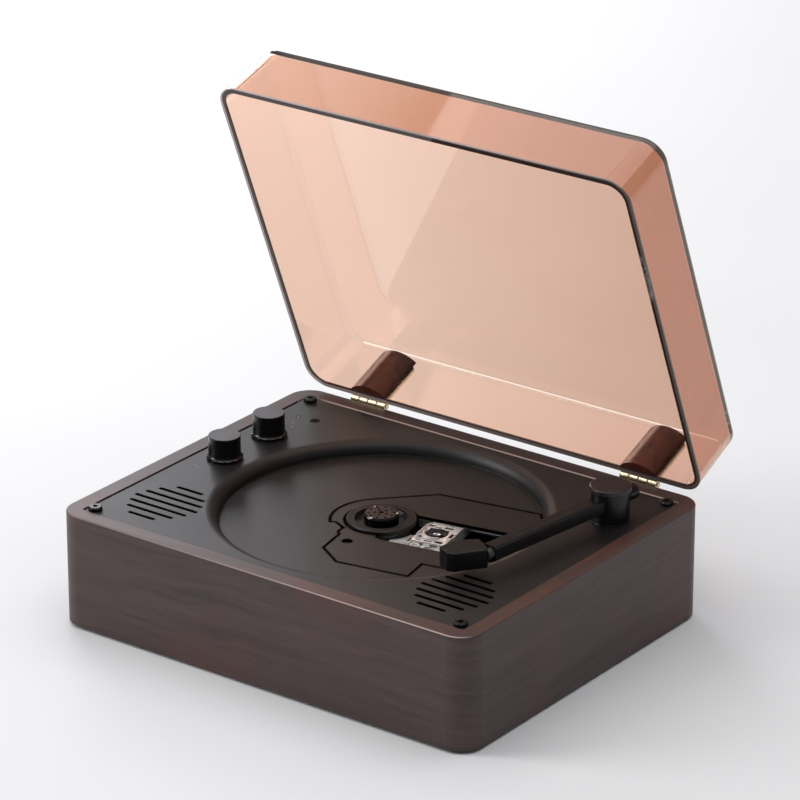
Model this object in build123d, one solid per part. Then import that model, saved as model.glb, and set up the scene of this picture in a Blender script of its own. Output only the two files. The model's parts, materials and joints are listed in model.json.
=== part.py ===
"""Desk-top disc player in a wooden cabinet, under a tinted hinged lid.

Millimetres.  X runs to the right along the front, Y to the back, Z up.  The origin is on the
spindle's axis, in the middle of the base panel's underside; the rubber feet reach below it.
The lid is stored open, and every other piece is stored where it parks.
"""
from build123d import *
import math
import os

# ---------------------------------------------------------------- driving dimensions
# cabinet
cabinet_width = 214.0
cabinet_depth = 172.0
cabinet_height = 50.6
wall = 7.8                      # thickness of the wooden frame, seen as the rim
corner_radius = 10.7
rim_edge_radius = 0.6
inner_corner_radius = 1.4
glue_block = 11.0               # side of the square block in each inner corner
foot_height = 1.5
foot_radius = 7.0
foot_inset_x = 23.0
foot_inset_y = 24.0
base_thickness = 4.0
base_gap = 0.2
keyhole_spacing = 110.0
keyhole_y = 46.0
keyhole_head_radius = 4.5
keyhole_slot_radius = 2.2
keyhole_slot_length = 9.0

# deck and disc well
deck_below_rim = 0.4
deck_gap = 0.5
deck_thickness = 2.6
deck_edge_radius = 0.4
deck_rib_depth = 5.0
deck_rib_thickness = 1.6
well_radius = 68.3              # flat floor of the disc well
well_depth = 5.9
well_foot_radius = 0.6          # the soft edge above it takes up the rest of the depth
well_wall = 2.2
floor_thickness = 2.0
deck_screw_inset = wall + 4.05  # from the cabinet's outside, both ways
deck_screw_head_radius = 3.0
deck_screw_head_height = 1.7
deck_screw_length = 16.0
screw_radius = 1.3              # shank of the deck and base screws

# mechanism cover, let into the floor of the well
mech_angle = 10.5               # the pickup's travel is turned this far from X
cover_thickness = 1.2
cover_gap = 0.55
cover_ledge = 3.0
cover_round_radius = 21.5       # round the turntable
cover_back = 34.3
cover_front = 46.2
cover_step_front = 32.6
cover_step_right = 34.8
cover_left = 8.9
cover_back_start = 11.0         # where the slanting back edge meets the straight one
cover_front_start = 2.4
cover_side_front = 36.0         # ends of the straight left edge
cover_side_back = 21.1
notch_radius = 2.0
notch_place = (-3.1, -26.0)
slot_back = 10.5
slot_front = 18.6
slot_end = 61.5
turntable_opening_gap = 0.9

# turntable
platter_radius = 15.0
platter_thickness = 2.6
platter_above_floor = 1.0
mat_thickness = 0.6
platter_recess = 1.9            # depth of the pan round the hub, below the mat
mat_inner_radius = 11.4
hub_radius = 7.4                # for the 15 mm hole of a disc
hub_seat_height = 1.5           # straight wall above the mat, for the disc
hub_height = 2.4                # top above the mat
hub_top_radius = 6.9
hub_holes = [(10, 5.5), (5, 2.7)]   # count and circle radius of each ring
hub_hole_radius = 0.55
hub_groove_levels = [0.5, 1.1, 1.7]  # below the mat
hub_groove_depth = 0.35
chuck_ball_radius = 0.7
chuck_ball_reach = 0.1          # how far the balls stand out of the wall
chuck_ball_count = 3
spindle_shaft_radius = 1.0
running_clearance = 0.05
spindle_motor_radius = 12.2
spindle_motor_hub_radius = 4.0
platter_motor_gap = 0.5

# pickup and its feed
rod_radius = 1.25
rod_back = 15.8                 # distance of the rear rod from the line of travel
rod_front = 15.5
rod_below_floor = 4.2
rod_start = 4.5
rod_holder = 3.0
lens_park = 26.0                # lens to spindle with the sled parked
lens_inner = 23.5               # lens to spindle at the disc's lead-in
lens_outer = 58.0               # lens to spindle at the disc's edge
lens_radius = 2.4
lens_below_floor = 1.1
sled_before_lens = 15.0
sled_after_lens = 8.0
sled_thickness = 2.6
sled_end_gap = 1.0
sled_back = 18.0
sled_front = 19.0
optics_depth = 4.2
gear_module = 0.5               # rack and the small wheel of the feed gear
rack_pitch_line = 22.5          # in front of the line of travel
rack_height = 2.0
feed_small_teeth = 14
motor_module = 0.4              # large wheel and motor pinion
feed_large_teeth = 40
pinion_teeth = 10
feed_gear_ahead = 12.0          # feed gear's axle ahead of the parked lens
tooth_backlash = 0.1
wheel_thickness = 1.2
axle_radius = 1.0
feed_motor_radius = 6.0
feed_motor_length = 10.5
feed_shaft_radius = 0.75

# mechanism chassis, hung from the well on four rubber dampers
chassis_thickness = 1.6
chassis_below_floor = 7.8        # well floor to chassis top
chassis_left = 22.0
chassis_right = 72.0
chassis_back = 28.0
chassis_front = 41.0
chassis_corner = 16.0
damper_radius = 4.5
damper_neck_radius = 3.0
damper_above = 2.1
damper_bore_radius = 1.6
damper_places = [(-16.0, 22.5), (59.0, 22.6), (-16.0, -33.0), (60.0, -29.0)]

# loudspeakers under the two grilles
speaker_x = 75.5
speaker_y = -51.2
speaker_radius = 18.5
speaker_flange = 1.2
speaker_cone_radius = 14.2
speaker_depth = 8.5
magnet_radius = 11.0
magnet_height = 6.0
speaker_screw_circle = 20.8
grille_slot_lengths = [14.0, 24.5, 30.4, 33.7, 30.4, 24.5, 14.0]
grille_slot_pitch = 5.38
grille_slot_width = 1.6

# knobs
knob_x = -85.7
volume_knob_y = 1.4
mode_knob_y = 32.4
knob_radius = 7.1
knob_top_radius = 7.0
knob_height = 11.0
knob_flange_radius = 8.0
knob_flange_height = 2.4
knob_gap = 0.4
knob_flute_count = 14
knob_shaft_radius = 3.0
control_body = 11.0             # side of the potentiometer and encoder bodies
control_body_height = 6.7
control_board_width = 20.0
control_board_front = -9.0
control_board_back = 66.0
led_place = (-88.3, 56.8)
ir_place = (-79.6, 57.5)
led_radius = 0.8
ir_radius = 2.1

# tonearm
arm_x = 85.1
arm_y = 46.4
arm_turn = 7.8                  # parked arm, turned from straight forward towards the disc
arm_length = 73.6               # pivot to the end of the tube
arm_width = 7.0
arm_depth = 6.6
arm_chamfer = 0.9
arm_top_above_deck = 12.2
arm_base_radius = 8.3
arm_base_height = 0.8
arm_column_radius = 8.3
arm_column_gap = 0.25
arm_cap_radius = 8.95
arm_cap_height = 2.4
arm_cap_top_above_deck = 16.2
arm_pin_radius = 2.5
arm_tail_radius = 1.8
counterweight_radius = 3.4
counterweight_length = 6.3
counterweight_back = 15.6       # pivot to its far end
collar_radius = 2.4
collar_length = 3.0
headshell_length = 19.2
headshell_width = 13.7
headshell_height = 8.2
headshell_turn = 34.2           # against the arm's own line
headshell_x = 66.8
headshell_y = -33.8

# lid
lid_width = 210.7
lid_depth = 170.4
lid_height = 31.1
lid_wall = 2.6
lid_draft = 1.3                 # front and side walls lean in by this much
lid_corner_radius = 10.5
lid_edge_radius = 2.2
lid_gap = 0.3                   # rim to lid when shut
lid_open_angle = 67.9           # stored pose, from shut
hinge_x = 72.3
hinge_axis_behind = 1.9         # behind the cabinet's back face
hinge_barrel_radius = 1.8
hinge_length = 19.2
hinge_knuckles = 4
knuckle_gap = 0.6
hinge_pin_radius = 0.9
leaf_thickness = 1.4
cabinet_leaf_height = 17.0
lid_leaf_height = 24.0
leaf_screw_spacing = 9.0
leaf_screw_radius = 1.1
leaf_screw_head_radius = 2.1
leaf_screw_head_height = 1.0
hinge_block_width = 19.2
hinge_block_depth = 4.2
hinge_block_height = 25.2
lid_screw_bite = 1.8             # of the lid leaves' screws into the blocks

# rear sockets
port_x = -40.0
port_z = 24.0
port_opening_width = 58.0
port_opening_height = 16.0
port_plate_border = 4.0
port_plate_thickness = 1.6
jack_spacing = 17.0
line_jack_radius = 1.8
line_jack_depth = 12.0
inlet_radius = 2.8
inlet_pin_radius = 1.0
rocker_width = 13.0
rocker_height = 8.6
rocker_tilt = 6.0

# boards
board_thickness = 1.6
main_board_width = 112.0
main_board_depth = 70.0
main_board_y = -4.0
standoff_height = 6.0
standoff_radius = 3.0
board_screw_inset = 5.0

# ---------------------------------------------------------------- levels and places
cabinet_bottom = 0.0
base_top = cabinet_bottom + base_thickness
rim_top = cabinet_bottom + cabinet_height
deck_top = rim_top - deck_below_rim
deck_under = deck_top - deck_thickness
well_floor = deck_top - well_depth
well_under = well_floor - floor_thickness
platter_top = well_floor + platter_above_floor
platter_under = platter_top - platter_thickness
pan_floor = platter_top - platter_recess
inner_width = cabinet_width - 2 * wall
inner_depth = cabinet_depth - 2 * wall
back_face = cabinet_depth / 2
screw_x = cabinet_width / 2 - deck_screw_inset
screw_y = cabinet_depth / 2 - deck_screw_inset
well_wall_radius = well_radius + well_foot_radius
well_lip_radius = well_depth - well_foot_radius
chassis_top = well_floor - chassis_below_floor
chassis_under = chassis_top - chassis_thickness
rod_z = well_floor - rod_below_floor
lens_top = well_floor - lens_below_floor
hinge_y = back_face + hinge_axis_behind
hinge_z = rim_top + lid_gap
control_board_top = deck_under - control_body_height
control_board_x = knob_x
arm_top = deck_top + arm_top_above_deck
arm_z = arm_top - arm_depth / 2
arm_cap_top = deck_top + arm_cap_top_above_deck
arm_cap_under = arm_cap_top - arm_cap_height
main_board_under = base_top + standoff_height
main_board_top = main_board_under + board_thickness
corners = [(-1, -1), (1, -1), (-1, 1), (1, 1)]

# ---------------------------------------------------------------- frames that pieces are drawn in
in_cabinet = Pos(0, 0, 0)
# mechanism: X along the pickup's travel, spindle at the origin
in_mechanism = Rot(0, 0, mech_angle)
# lid: drawn shut, then swung about the hinge pins to where it is stored
hinge_line = Pos(0, hinge_y, hinge_z)
in_lid = hinge_line * Rot(-lid_open_angle, 0, 0) * hinge_line.inverse()
# tonearm: pivot at the origin, tube along -Y
in_arm = Pos(arm_x, arm_y, 0) * Rot(0, 0, -arm_turn)
# headshell: its middle at the origin, nose along -Y
in_headshell = Pos(headshell_x, headshell_y, 0) * Rot(0, 0, -arm_turn - headshell_turn)


# ---------------------------------------------------------------- small helpers
def block(x0, x1, y0, y1, z0, z1):
    """A box between two corners."""
    return Pos((x0 + x1) / 2, (y0 + y1) / 2, (z0 + z1) / 2) * Box(x1 - x0, y1 - y0, z1 - z0)


def rod(radius, z0, z1, x=0.0, y=0.0):
    """An upright cylinder."""
    return Pos(x, y, (z0 + z1) / 2) * Cylinder(radius, z1 - z0)


def rod_x(radius, x0, x1, y, z):
    """A cylinder along X."""
    return Pos((x0 + x1) / 2, y, z) * Rot(0, 90, 0) * Cylinder(radius, x1 - x0)


def rod_y(radius, y0, y1, x, z):
    """A cylinder along Y."""
    return Pos(x, (y0 + y1) / 2, z) * Rot(90, 0, 0) * Cylinder(radius, y1 - y0)


def slab(sketch, z0, z1):
    """A flat outline made solid between two levels."""
    return extrude(Pos(0, 0, z0) * sketch, z1 - z0)


def outlined(*points):
    """A flat face inside straight lines through the points, facing up whichever way they run."""
    double_area = sum(p[0] * q[1] - q[0] * p[1] for p, q in zip(points, points[1:] + points[:1]))
    return make_face(Polyline(*(points if double_area > 0 else points[::-1]), close=True))


def turned(profile):
    """A profile of (radius, level) points spun about the Z axis."""
    return revolve(Plane.XZ * make_face(Polyline(*profile, close=True)), Axis.Z)


def together(*shapes, place=in_cabinet):
    """Several loose solids that make one node, each moved to the same place."""
    return Compound(children=[place * shape for shape in shapes])


def gear_outline(module, teeth, phase=0.0):
    """Involute wheel, 20 degree pressure angle, one tooth centred on the phase angle."""
    pitch = module * teeth / 2
    base = pitch * math.cos(math.radians(20))
    tip = pitch + 0.85 * module
    root = pitch - 1.2 * module
    half_at_pitch = math.pi / (2 * teeth) - tooth_backlash / (2 * pitch)

    def involute(radius):
        pressure = math.acos(min(1.0, base / radius))
        return math.tan(pressure) - pressure

    start = max(base, root)
    flank = [start, (start + pitch) / 2, pitch, tip]
    points = []
    for tooth in range(teeth):
        middle = math.radians(phase) + 2 * math.pi * tooth / teeth
        half = [half_at_pitch + involute(pitch) - involute(r) for r in flank]
        sides = [(root, -half[0])] + [(r, -h) for r, h in zip(flank, half)]
        sides += [(r, h) for r, h in zip(reversed(flank), reversed(half))] + [(root, half[0])]
        points += [(r * math.cos(middle + h), r * math.sin(middle + h)) for r, h in sides]
    return outlined(*[p for i, p in enumerate(points) if math.dist(p, points[i - 1]) > 1e-6])


def pan_screw(head_radius, head_height, shank_radius, length):
    """Socket-head screw along Z, its bevelled head seated on level 0."""
    head = rod(head_radius, 0, head_height)
    head = chamfer(head.faces().sort_by(Axis.Z)[-1].edges(), 0.3 * head_height)
    socket = slab(RegularPolygon(0.42 * head_radius, 6), 0.4 * head_height, head_height)
    return head + rod(shank_radius, -length, 0) - socket


# ---------------------------------------------------------------- cabinet
def make_cabinet_frame():
    outline = RectangleRounded(cabinet_width, cabinet_depth, corner_radius)
    hollow = RectangleRounded(inner_width, inner_depth, inner_corner_radius)
    frame = slab(outline, cabinet_bottom, rim_top)
    frame = fillet(frame.faces().sort_by(Axis.Z)[-1].edges(), rim_edge_radius)
    frame -= slab(hollow, cabinet_bottom, rim_top)
    for sx, sy in corners:
        frame += block(*sorted((sx * (inner_width / 2 - glue_block), sx * (inner_width / 2 + 1))),
                       *sorted((sy * (inner_depth / 2 - glue_block), sy * (inner_depth / 2 + 1))),
                       base_top, deck_under)
        frame -= rod(screw_radius, deck_under - deck_screw_length, deck_under,
                     sx * screw_x, sy * screw_y)
        frame -= rod(screw_radius, base_top, base_top + base_screw_length(), sx * screw_x, sy * screw_y)
    # the opening for the rear sockets, with a rebate for their plate
    half_width = port_opening_width / 2
    half_height = port_opening_height / 2
    inside = back_face - wall
    frame -= block(port_x - half_width, port_x + half_width, inside - 1, back_face + 1,
                   port_z - half_height, port_z + half_height)
    frame -= block(port_x - half_width - port_plate_border - cover_gap,
                   port_x + half_width + port_plate_border + cover_gap,
                   back_face - port_plate_thickness, back_face + 1,
                   port_z - half_height - port_plate_border - cover_gap,
                   port_z + half_height + port_plate_border + cover_gap)
    for x in port_screw_places():
        frame -= rod_y(leaf_screw_radius, back_face - port_plate_thickness - port_screw_length(),
                       back_face, x, port_z)
    for x, z in cabinet_leaf_screw_places():
        frame -= rod_y(leaf_screw_radius, back_face - leaf_screw_reach(), back_face, x, z)
    return frame


def base_screw_length():
    return 2.5 * base_thickness


def port_screw_length():
    return wall - port_plate_thickness - 1.5


def leaf_screw_reach():
    return wall - 1.5


def port_screw_places():
    middle = port_opening_width / 2 + port_plate_border / 2
    return [port_x - middle, port_x + middle]


def cabinet_leaf_screw_places():
    level = hinge_z - cabinet_leaf_height * 0.62
    return [(side * hinge_x + sx * leaf_screw_spacing / 2, level) for side in (-1, 1) for sx in (-1, 1)]


def lid_leaf_screw_places():
    level = hinge_z + lid_leaf_height * 0.62
    return [(side * hinge_x + sx * leaf_screw_spacing / 2, level) for side in (-1, 1) for sx in (-1, 1)]


def main_board_screw_places():
    half_width = main_board_width / 2 - board_screw_inset
    half_depth = main_board_depth / 2 - board_screw_inset
    return [(sx * half_width, main_board_y + sy * half_depth) for sx, sy in corners]


def make_base_panel():
    size = (inner_width - 2 * base_gap, inner_depth - 2 * base_gap)
    panel = slab(RectangleRounded(*size, inner_corner_radius), cabinet_bottom, base_top)
    for sx, sy in corners:
        panel -= rod(screw_radius, cabinet_bottom, base_top, sx * screw_x, sy * screw_y)
        panel -= rod(deck_screw_head_radius + base_gap, cabinet_bottom,
                     cabinet_bottom + deck_screw_head_height + base_gap, sx * screw_x, sy * screw_y)
    for side in (-1, 1):
        keyhole = rod(keyhole_head_radius, cabinet_bottom, base_top, side * keyhole_spacing / 2, keyhole_y)
        slot = Pos(side * keyhole_spacing / 2, keyhole_y + keyhole_slot_length / 2, 0)
        slot *= SlotCenterToCenter(keyhole_slot_length, 2 * keyhole_slot_radius, rotation=90)
        panel -= keyhole + slab(slot, cabinet_bottom, base_top)
    for x, y in main_board_screw_places():
        panel += rod(standoff_radius, base_top - 1, main_board_under, x, y)
        panel -= rod(screw_radius, base_top, main_board_under, x, y)
    return panel


def make_rubber_feet():
    feet = []
    for sx, sy in corners:
        x = sx * (cabinet_width / 2 - foot_inset_x)
        y = sy * (cabinet_depth / 2 - foot_inset_y)
        foot = rod(foot_radius, cabinet_bottom - foot_height, cabinet_bottom, x, y)
        feet.append(fillet(foot.faces().sort_by(Axis.Z)[0].edges(), 0.4 * foot_height))
    return together(*feet)


def make_cabinet_screws():
    """Base, port-plate and cabinet-leaf screws, all driven into the wooden frame."""
    screws = []
    head = deck_screw_head_height
    for sx, sy in corners:
        screw = pan_screw(deck_screw_head_radius, head, screw_radius,
                          base_thickness - head - base_gap + base_screw_length())
        place = Pos(sx * screw_x, sy * screw_y, cabinet_bottom + head + base_gap)
        screws.append(place * Rot(180, 0, 0) * screw)
    for x in port_screw_places():
        screw = pan_screw(0.45 * port_plate_border, leaf_screw_head_height, leaf_screw_radius,
                          port_plate_thickness + port_screw_length())
        screws.append(Pos(x, back_face, port_z) * Rot(-90, 0, 0) * screw)
    for x, z in cabinet_leaf_screw_places():
        screw = pan_screw(leaf_screw_head_radius, leaf_screw_head_height, leaf_screw_radius,
                          leaf_thickness + leaf_screw_reach())
        screws.append(Pos(x, back_face + leaf_thickness, z) * Rot(-90, 0, 0) * screw)
    return together(*screws)


# ---------------------------------------------------------------- deck
def grille_slots(side):
    """Rows of round-ended slots that fill a rounded patch over a loudspeaker."""
    slots = Sketch()
    middle = (len(grille_slot_lengths) - 1) / 2
    for row, length in enumerate(grille_slot_lengths):
        offset = (row - middle) * grille_slot_pitch
        slots += Pos(side * speaker_x, speaker_y + offset) * SlotOverall(length, grille_slot_width)
    return slots


def cover_outline():
    """The mechanism cover's edge, in the mechanism's frame."""
    reach = cover_round_radius
    turns = [math.radians(angle) for angle in (125.7, 168, 211.5)]
    arc = [(reach * math.cos(turn), reach * math.sin(turn)) for turn in turns]
    beyond = well_radius + 2
    edge = Polyline(
        arc[0], (cover_back_start, cover_back), (beyond, cover_back), (beyond, -cover_step_front),
        (cover_step_right, -cover_step_front), (cover_step_right, -cover_front),
        (cover_front_start, -cover_front), (-cover_left, -cover_side_front), (-cover_left, -cover_side_back),
        (-cover_left - 1.9, -cover_side_back + 2.6), (-cover_left - 1.4, -cover_side_back + 6.9),
        (-cover_left - 7.4, -cover_side_back + 10.9), arc[2],
    )
    return make_face(edge + ThreePointArc(arc[2], arc[1], arc[0])) & Circle(well_radius - cover_gap)


def cover_recess():
    """The recess that the cover lies in, a gap wider all round."""
    return offset(cover_outline(), cover_gap, kind=Kind.INTERSECTION)


def cover_opening():
    """The hole through the well's floor under the cover, inside a ledge and clear of the damper bosses."""
    inner_round = cover_round_radius - cover_ledge
    corner = inner_round * math.sin(math.radians(45))
    right = cover_step_right - cover_ledge
    back = cover_back - cover_ledge
    front = cover_front - cover_ledge
    points = [
        (-corner, corner), (cover_back_start, back), (well_radius, back),
        (well_radius, -cover_step_front + cover_ledge), (right, -cover_step_front + cover_ledge),
        (right, -front), (cover_front_start + 1, -front), (cover_ledge - cover_left, -cover_side_front + 1),
        (cover_ledge - cover_left, -corner),
    ]
    notched = Pos(-cover_left, -cover_side_back + 5) * Circle(0.8 * cover_ledge)
    opening = (outlined(*points) + Circle(inner_round) - notched) & Circle(well_radius - 1.2 * cover_ledge)
    for x, y in damper_places:
        opening -= Pos(x, y) * Circle(damper_radius + 0.5)
    return opening


def pickup_window():
    """Opening round the turntable and along the pickup's travel."""
    round_part = platter_radius + turntable_opening_gap
    points = [
        (0.3 * round_part, -0.8 * round_part),
        (6.2, -slot_front + 1.1),
        (11.0, -slot_front),
        (slot_end, -slot_front),
        (slot_end, slot_back),
        (0.7 * round_part, slot_back),
    ]
    return Circle(round_part) + outlined(*points)


def damper_spots():
    return [in_mechanism * Pos(x, y, 0) for x, y in damper_places]


def speaker_screw_places(side):
    away = math.degrees(math.atan2(speaker_y, side * speaker_x))
    places = []
    for turn in (-90, 0, 90):
        angle = math.radians(away + turn)
        places.append((side * speaker_x + speaker_screw_circle * math.cos(angle),
                       speaker_y + speaker_screw_circle * math.sin(angle)))
    return places


def control_screw_places():
    half = control_board_width / 2 - 2.6
    return [(control_board_x + sx * half, y)
            for sx in (-1, 1) for y in (control_board_front + 2.6, control_board_back - 2.6)]


def make_well_space():
    """The space that the well takes out of the deck, with its soft lip and foot."""
    lip = well_wall_radius + well_lip_radius
    middle = well_floor + well_foot_radius
    outline = Polyline((well_radius, well_floor), (0, well_floor), (0, deck_top + 1),
                       (lip, deck_top + 1), (lip, deck_top))
    soft_lip = ThreePointArc((lip, deck_top),
                             (lip - well_lip_radius * math.sin(math.radians(45)),
                              middle + well_lip_radius * math.cos(math.radians(45))),
                             (well_wall_radius, middle))
    foot = ThreePointArc((well_wall_radius, middle),
                         (well_radius + well_foot_radius * math.sin(math.radians(45)),
                          middle - well_foot_radius * math.cos(math.radians(45))),
                         (well_radius, well_floor))
    return revolve(Plane.XZ * make_face(outline + soft_lip + foot), Axis.Z)


def make_deck():
    size = (inner_width - 2 * deck_gap, inner_depth - 2 * deck_gap)
    deck = slab(RectangleRounded(*size, inner_corner_radius - deck_gap), deck_under, deck_top)
    deck = fillet(deck.faces().sort_by(Axis.Z)[-1].edges(), deck_edge_radius)
    deck += rod(well_wall_radius + well_wall, well_under, deck_under)
    # stiffening ribs just inside the edge, between the glue blocks
    rib_x = size[0] / 2 - deck_rib_thickness
    rib_y = size[1] / 2 - deck_rib_thickness
    reach_x = inner_width / 2 - glue_block - 2 * deck_gap
    reach_y = inner_depth / 2 - glue_block - 2 * deck_gap
    for side in (-1, 1):
        deck += block(*sorted((side * rib_x, side * size[0] / 2)), -reach_y, reach_y,
                      deck_under - deck_rib_depth, deck_under)
        deck += block(-reach_x, reach_x, *sorted((side * rib_y, side * size[1] / 2)),
                      deck_under - deck_rib_depth, deck_under)
    # bosses for the dampers, the loudspeakers and the control board
    for spot in damper_spots():
        deck += spot * rod(damper_neck_radius, chassis_top + damper_above, well_under + 0.5)
    for side in (-1, 1):
        for x, y in speaker_screw_places(side):
            deck += rod(2.2, deck_under - speaker_flange, deck_under, x, y)
    for x, y in control_screw_places():
        deck += rod(2.4, control_board_top, deck_under, x, y)
    deck -= make_well_space()
    # recess, ledge and opening for the mechanism cover
    deck -= in_mechanism * slab(cover_recess(), well_floor - cover_thickness, well_floor)
    deck -= in_mechanism * slab(cover_opening(), well_under, well_floor)
    # the ledge is cut away where the pickup ends its travel
    deck -= in_mechanism * block(sled_stop, sled_stop + travel_out + 0.8, -10.9, 10.9,
                                 well_under, well_floor - cover_thickness)
    for side in (-1, 1):
        deck -= slab(grille_slots(side), deck_under, deck_top)
        for x, y in speaker_screw_places(side):
            deck -= rod(leaf_screw_radius, deck_under - speaker_flange, deck_top - 0.8, x, y)
    for sx, sy in corners:
        deck -= rod(screw_radius + 0.2, deck_under, deck_top, sx * screw_x, sy * screw_y)
    for y in (volume_knob_y, mode_knob_y):
        deck -= rod(knob_shaft_radius + knob_gap, deck_under, deck_top, knob_x, y)
    for x, y in control_screw_places():
        deck -= rod(leaf_screw_radius, control_board_top, deck_under, x, y)
    deck -= rod(led_radius, deck_under, deck_top, *led_place)
    deck -= rod(ir_radius, deck_under, deck_top, *ir_place)
    deck -= rod(arm_pin_radius, deck_under, deck_top, arm_x, arm_y)
    for spot in damper_spots():
        deck -= spot * rod(leaf_screw_radius, chassis_top + damper_above, well_floor - 0.8)
    return deck


def make_mechanism_cover():
    cover = slab(cover_outline(), well_floor - cover_thickness, well_floor)
    cover -= slab(pickup_window(), well_floor - cover_thickness, well_floor)
    # round hole over a fixing of the mechanism
    cover -= rod(notch_radius, well_floor - cover_thickness, well_floor, *notch_place)
    return in_mechanism * cover


def make_deck_screws():
    screw = pan_screw(deck_screw_head_radius, deck_screw_head_height, screw_radius,
                      deck_thickness + deck_screw_length - 1)
    return Compound(children=[Pos(sx * screw_x, sy * screw_y, deck_top) * screw for sx, sy in corners])


# ---------------------------------------------------------------- loudspeakers
def for_both_speakers(shape):
    return Compound(children=[Pos(side * speaker_x, speaker_y, 0) * shape for side in (-1, 1)])


def make_speaker_baskets():
    low = deck_under - speaker_flange - speaker_depth
    flange = deck_under - speaker_flange
    neck = 0.86 * magnet_radius
    basket = turned([
        (0, low), (neck, low), (speaker_cone_radius + 2.3, flange), (speaker_radius, flange),
        (speaker_radius, deck_under), (speaker_cone_radius, deck_under), (speaker_cone_radius, flange),
        (speaker_cone_radius + 1.3, flange), (neck - 0.6, low + 1), (0, low + 1),
    ])
    for turn in range(4):
        window = block(6.5, 17, -2.6, 2.6, low + 2.2, flange - 1.6)
        basket -= Rot(0, 0, 45 + 90 * turn) * window
    return for_both_speakers(basket)


def make_speaker_magnets():
    top = deck_under - speaker_flange - speaker_depth
    magnet = rod(magnet_radius, top - magnet_height, top)
    magnet = chamfer(magnet.faces().sort_by(Axis.Z)[0].edges(), 0.5)
    return for_both_speakers(magnet)


def make_speaker_cones():
    flange = deck_under - speaker_flange
    paper = 0.4
    outer = speaker_cone_radius + 0.7
    cone = turned([
        (0, flange - 3.2), (3.0, flange - 4.0), (4.4, flange - 5.0), (4.4, flange - speaker_depth + 1),
        (4.8, flange - speaker_depth + 1), (4.8, flange - 5.0), (11.5, flange - 1.2),
        (12.8, flange - 0.3), (outer, flange - paper), (outer, flange), (speaker_cone_radius - 0.2, flange),
        (12.6, flange + paper / 2),
        (11.2, flange - 0.8), (4.8, flange - 4.4), (3.0, flange - 3.5), (0, flange - 2.8),
    ])
    return for_both_speakers(cone)


def make_speaker_screws():
    screws = []
    screw = pan_screw(3.0, leaf_screw_head_height, leaf_screw_radius, speaker_flange + 1.4)
    for side in (-1, 1):
        for x, y in speaker_screw_places(side):
            screws.append(Pos(x, y, deck_under - speaker_flange) * Rot(180, 0, 0) * screw)
    return together(*screws)


# ---------------------------------------------------------------- knobs and control board
def make_knob(y):
    under = deck_top + knob_gap
    top = deck_top + knob_height
    knob = turned([
        (0, under), (knob_flange_radius - 0.3, under), (knob_flange_radius, under + 0.3),
        (knob_flange_radius, under + 0.8), (knob_radius + 0.35, under + 1.2),
        (knob_radius + 0.1, under + 1.7), (knob_radius, under + knob_flange_height),
        (knob_top_radius, top - 0.2), (knob_top_radius - 0.2, top), (0, top),
    ])
    scallop = rod(0.9, under, under + 1.2, knob_flange_radius + 0.6)
    for turn in range(knob_flute_count):
        knob -= Rot(0, 0, 360 * turn / knob_flute_count) * scallop
    knob -= rod(knob_radius - 1.6, under, under + 1.2)
    knob -= rod(knob_shaft_radius, under, top - 2.5)
    return Pos(knob_x, y, 0) * knob


def make_control_shaft(y):
    top = deck_top + knob_height - 2.5
    return rod(knob_shaft_radius, control_board_top + 2.0, top, knob_x, y)


def make_control_body(y):
    half = control_body / 2
    body = block(-half, half, -half, half, control_board_top, deck_under)
    body = chamfer(body.edges().filter_by(Axis.Z), 0.8)
    body -= rod(knob_shaft_radius + running_clearance, control_board_top + 1.9, deck_under)
    return Pos(knob_x, y, 0) * body


def make_control_board():
    half = control_board_width / 2
    board = block(control_board_x - half, control_board_x + half, control_board_front, control_board_back,
                  control_board_top - board_thickness, control_board_top)
    for x, y in control_screw_places():
        board -= rod(leaf_screw_radius, control_board_top - board_thickness, control_board_top, x, y)
    return board


def make_status_led():
    lamp = rod(led_radius, control_board_top, deck_top, *led_place)
    return fillet(lamp.faces().sort_by(Axis.Z)[-1].edges(), 0.5)


def make_ir_window():
    return rod(ir_radius, control_board_top, deck_top, *ir_place)


def make_board_screws():
    """Screws of the control board and of the main board."""
    screws = []
    small = pan_screw(leaf_screw_head_radius, leaf_screw_head_height, leaf_screw_radius,
                      board_thickness + control_body_height - 1.5)
    for x, y in control_screw_places():
        screws.append(Pos(x, y, control_board_top - board_thickness) * Rot(180, 0, 0) * small)
    large = pan_screw(2 * screw_radius, 1.4, screw_radius, board_thickness + standoff_height - 1)
    for x, y in main_board_screw_places():
        screws.append(Pos(x, y, main_board_top) * large)
    return together(*screws)


# ---------------------------------------------------------------- turntable
def make_platter():
    """Turntable with its shaft: a pan round the hub, and a rim that the mat lies on."""
    pan = mat_inner_radius
    platter = turned([
        (0, platter_under), (platter_radius - 0.8, platter_under), (platter_radius, platter_under + 0.8),
        (platter_radius, platter_top - 0.3), (platter_radius - 0.3, platter_top),
        (platter_radius - 0.7, platter_top), (platter_radius - 0.7, platter_top - mat_thickness),
        (pan, platter_top - mat_thickness), (pan - 0.6, pan_floor), (0, pan_floor),
    ])
    return platter + rod(spindle_shaft_radius, chassis_under - 0.6, platter_under)


def make_platter_mat():
    mat = rod(platter_radius - 0.7, platter_top - mat_thickness, platter_top)
    return mat - rod(mat_inner_radius, platter_top - mat_thickness, platter_top)


def ball_spots():
    level = platter_top + hub_seat_height + 0.4
    out = hub_radius + chuck_ball_reach - chuck_ball_radius
    return [Rot(0, 0, 30 + 360 * n / chuck_ball_count) * Pos(out, 0, level) * Rot(0, 0, 180)
            for n in range(chuck_ball_count)]


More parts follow.
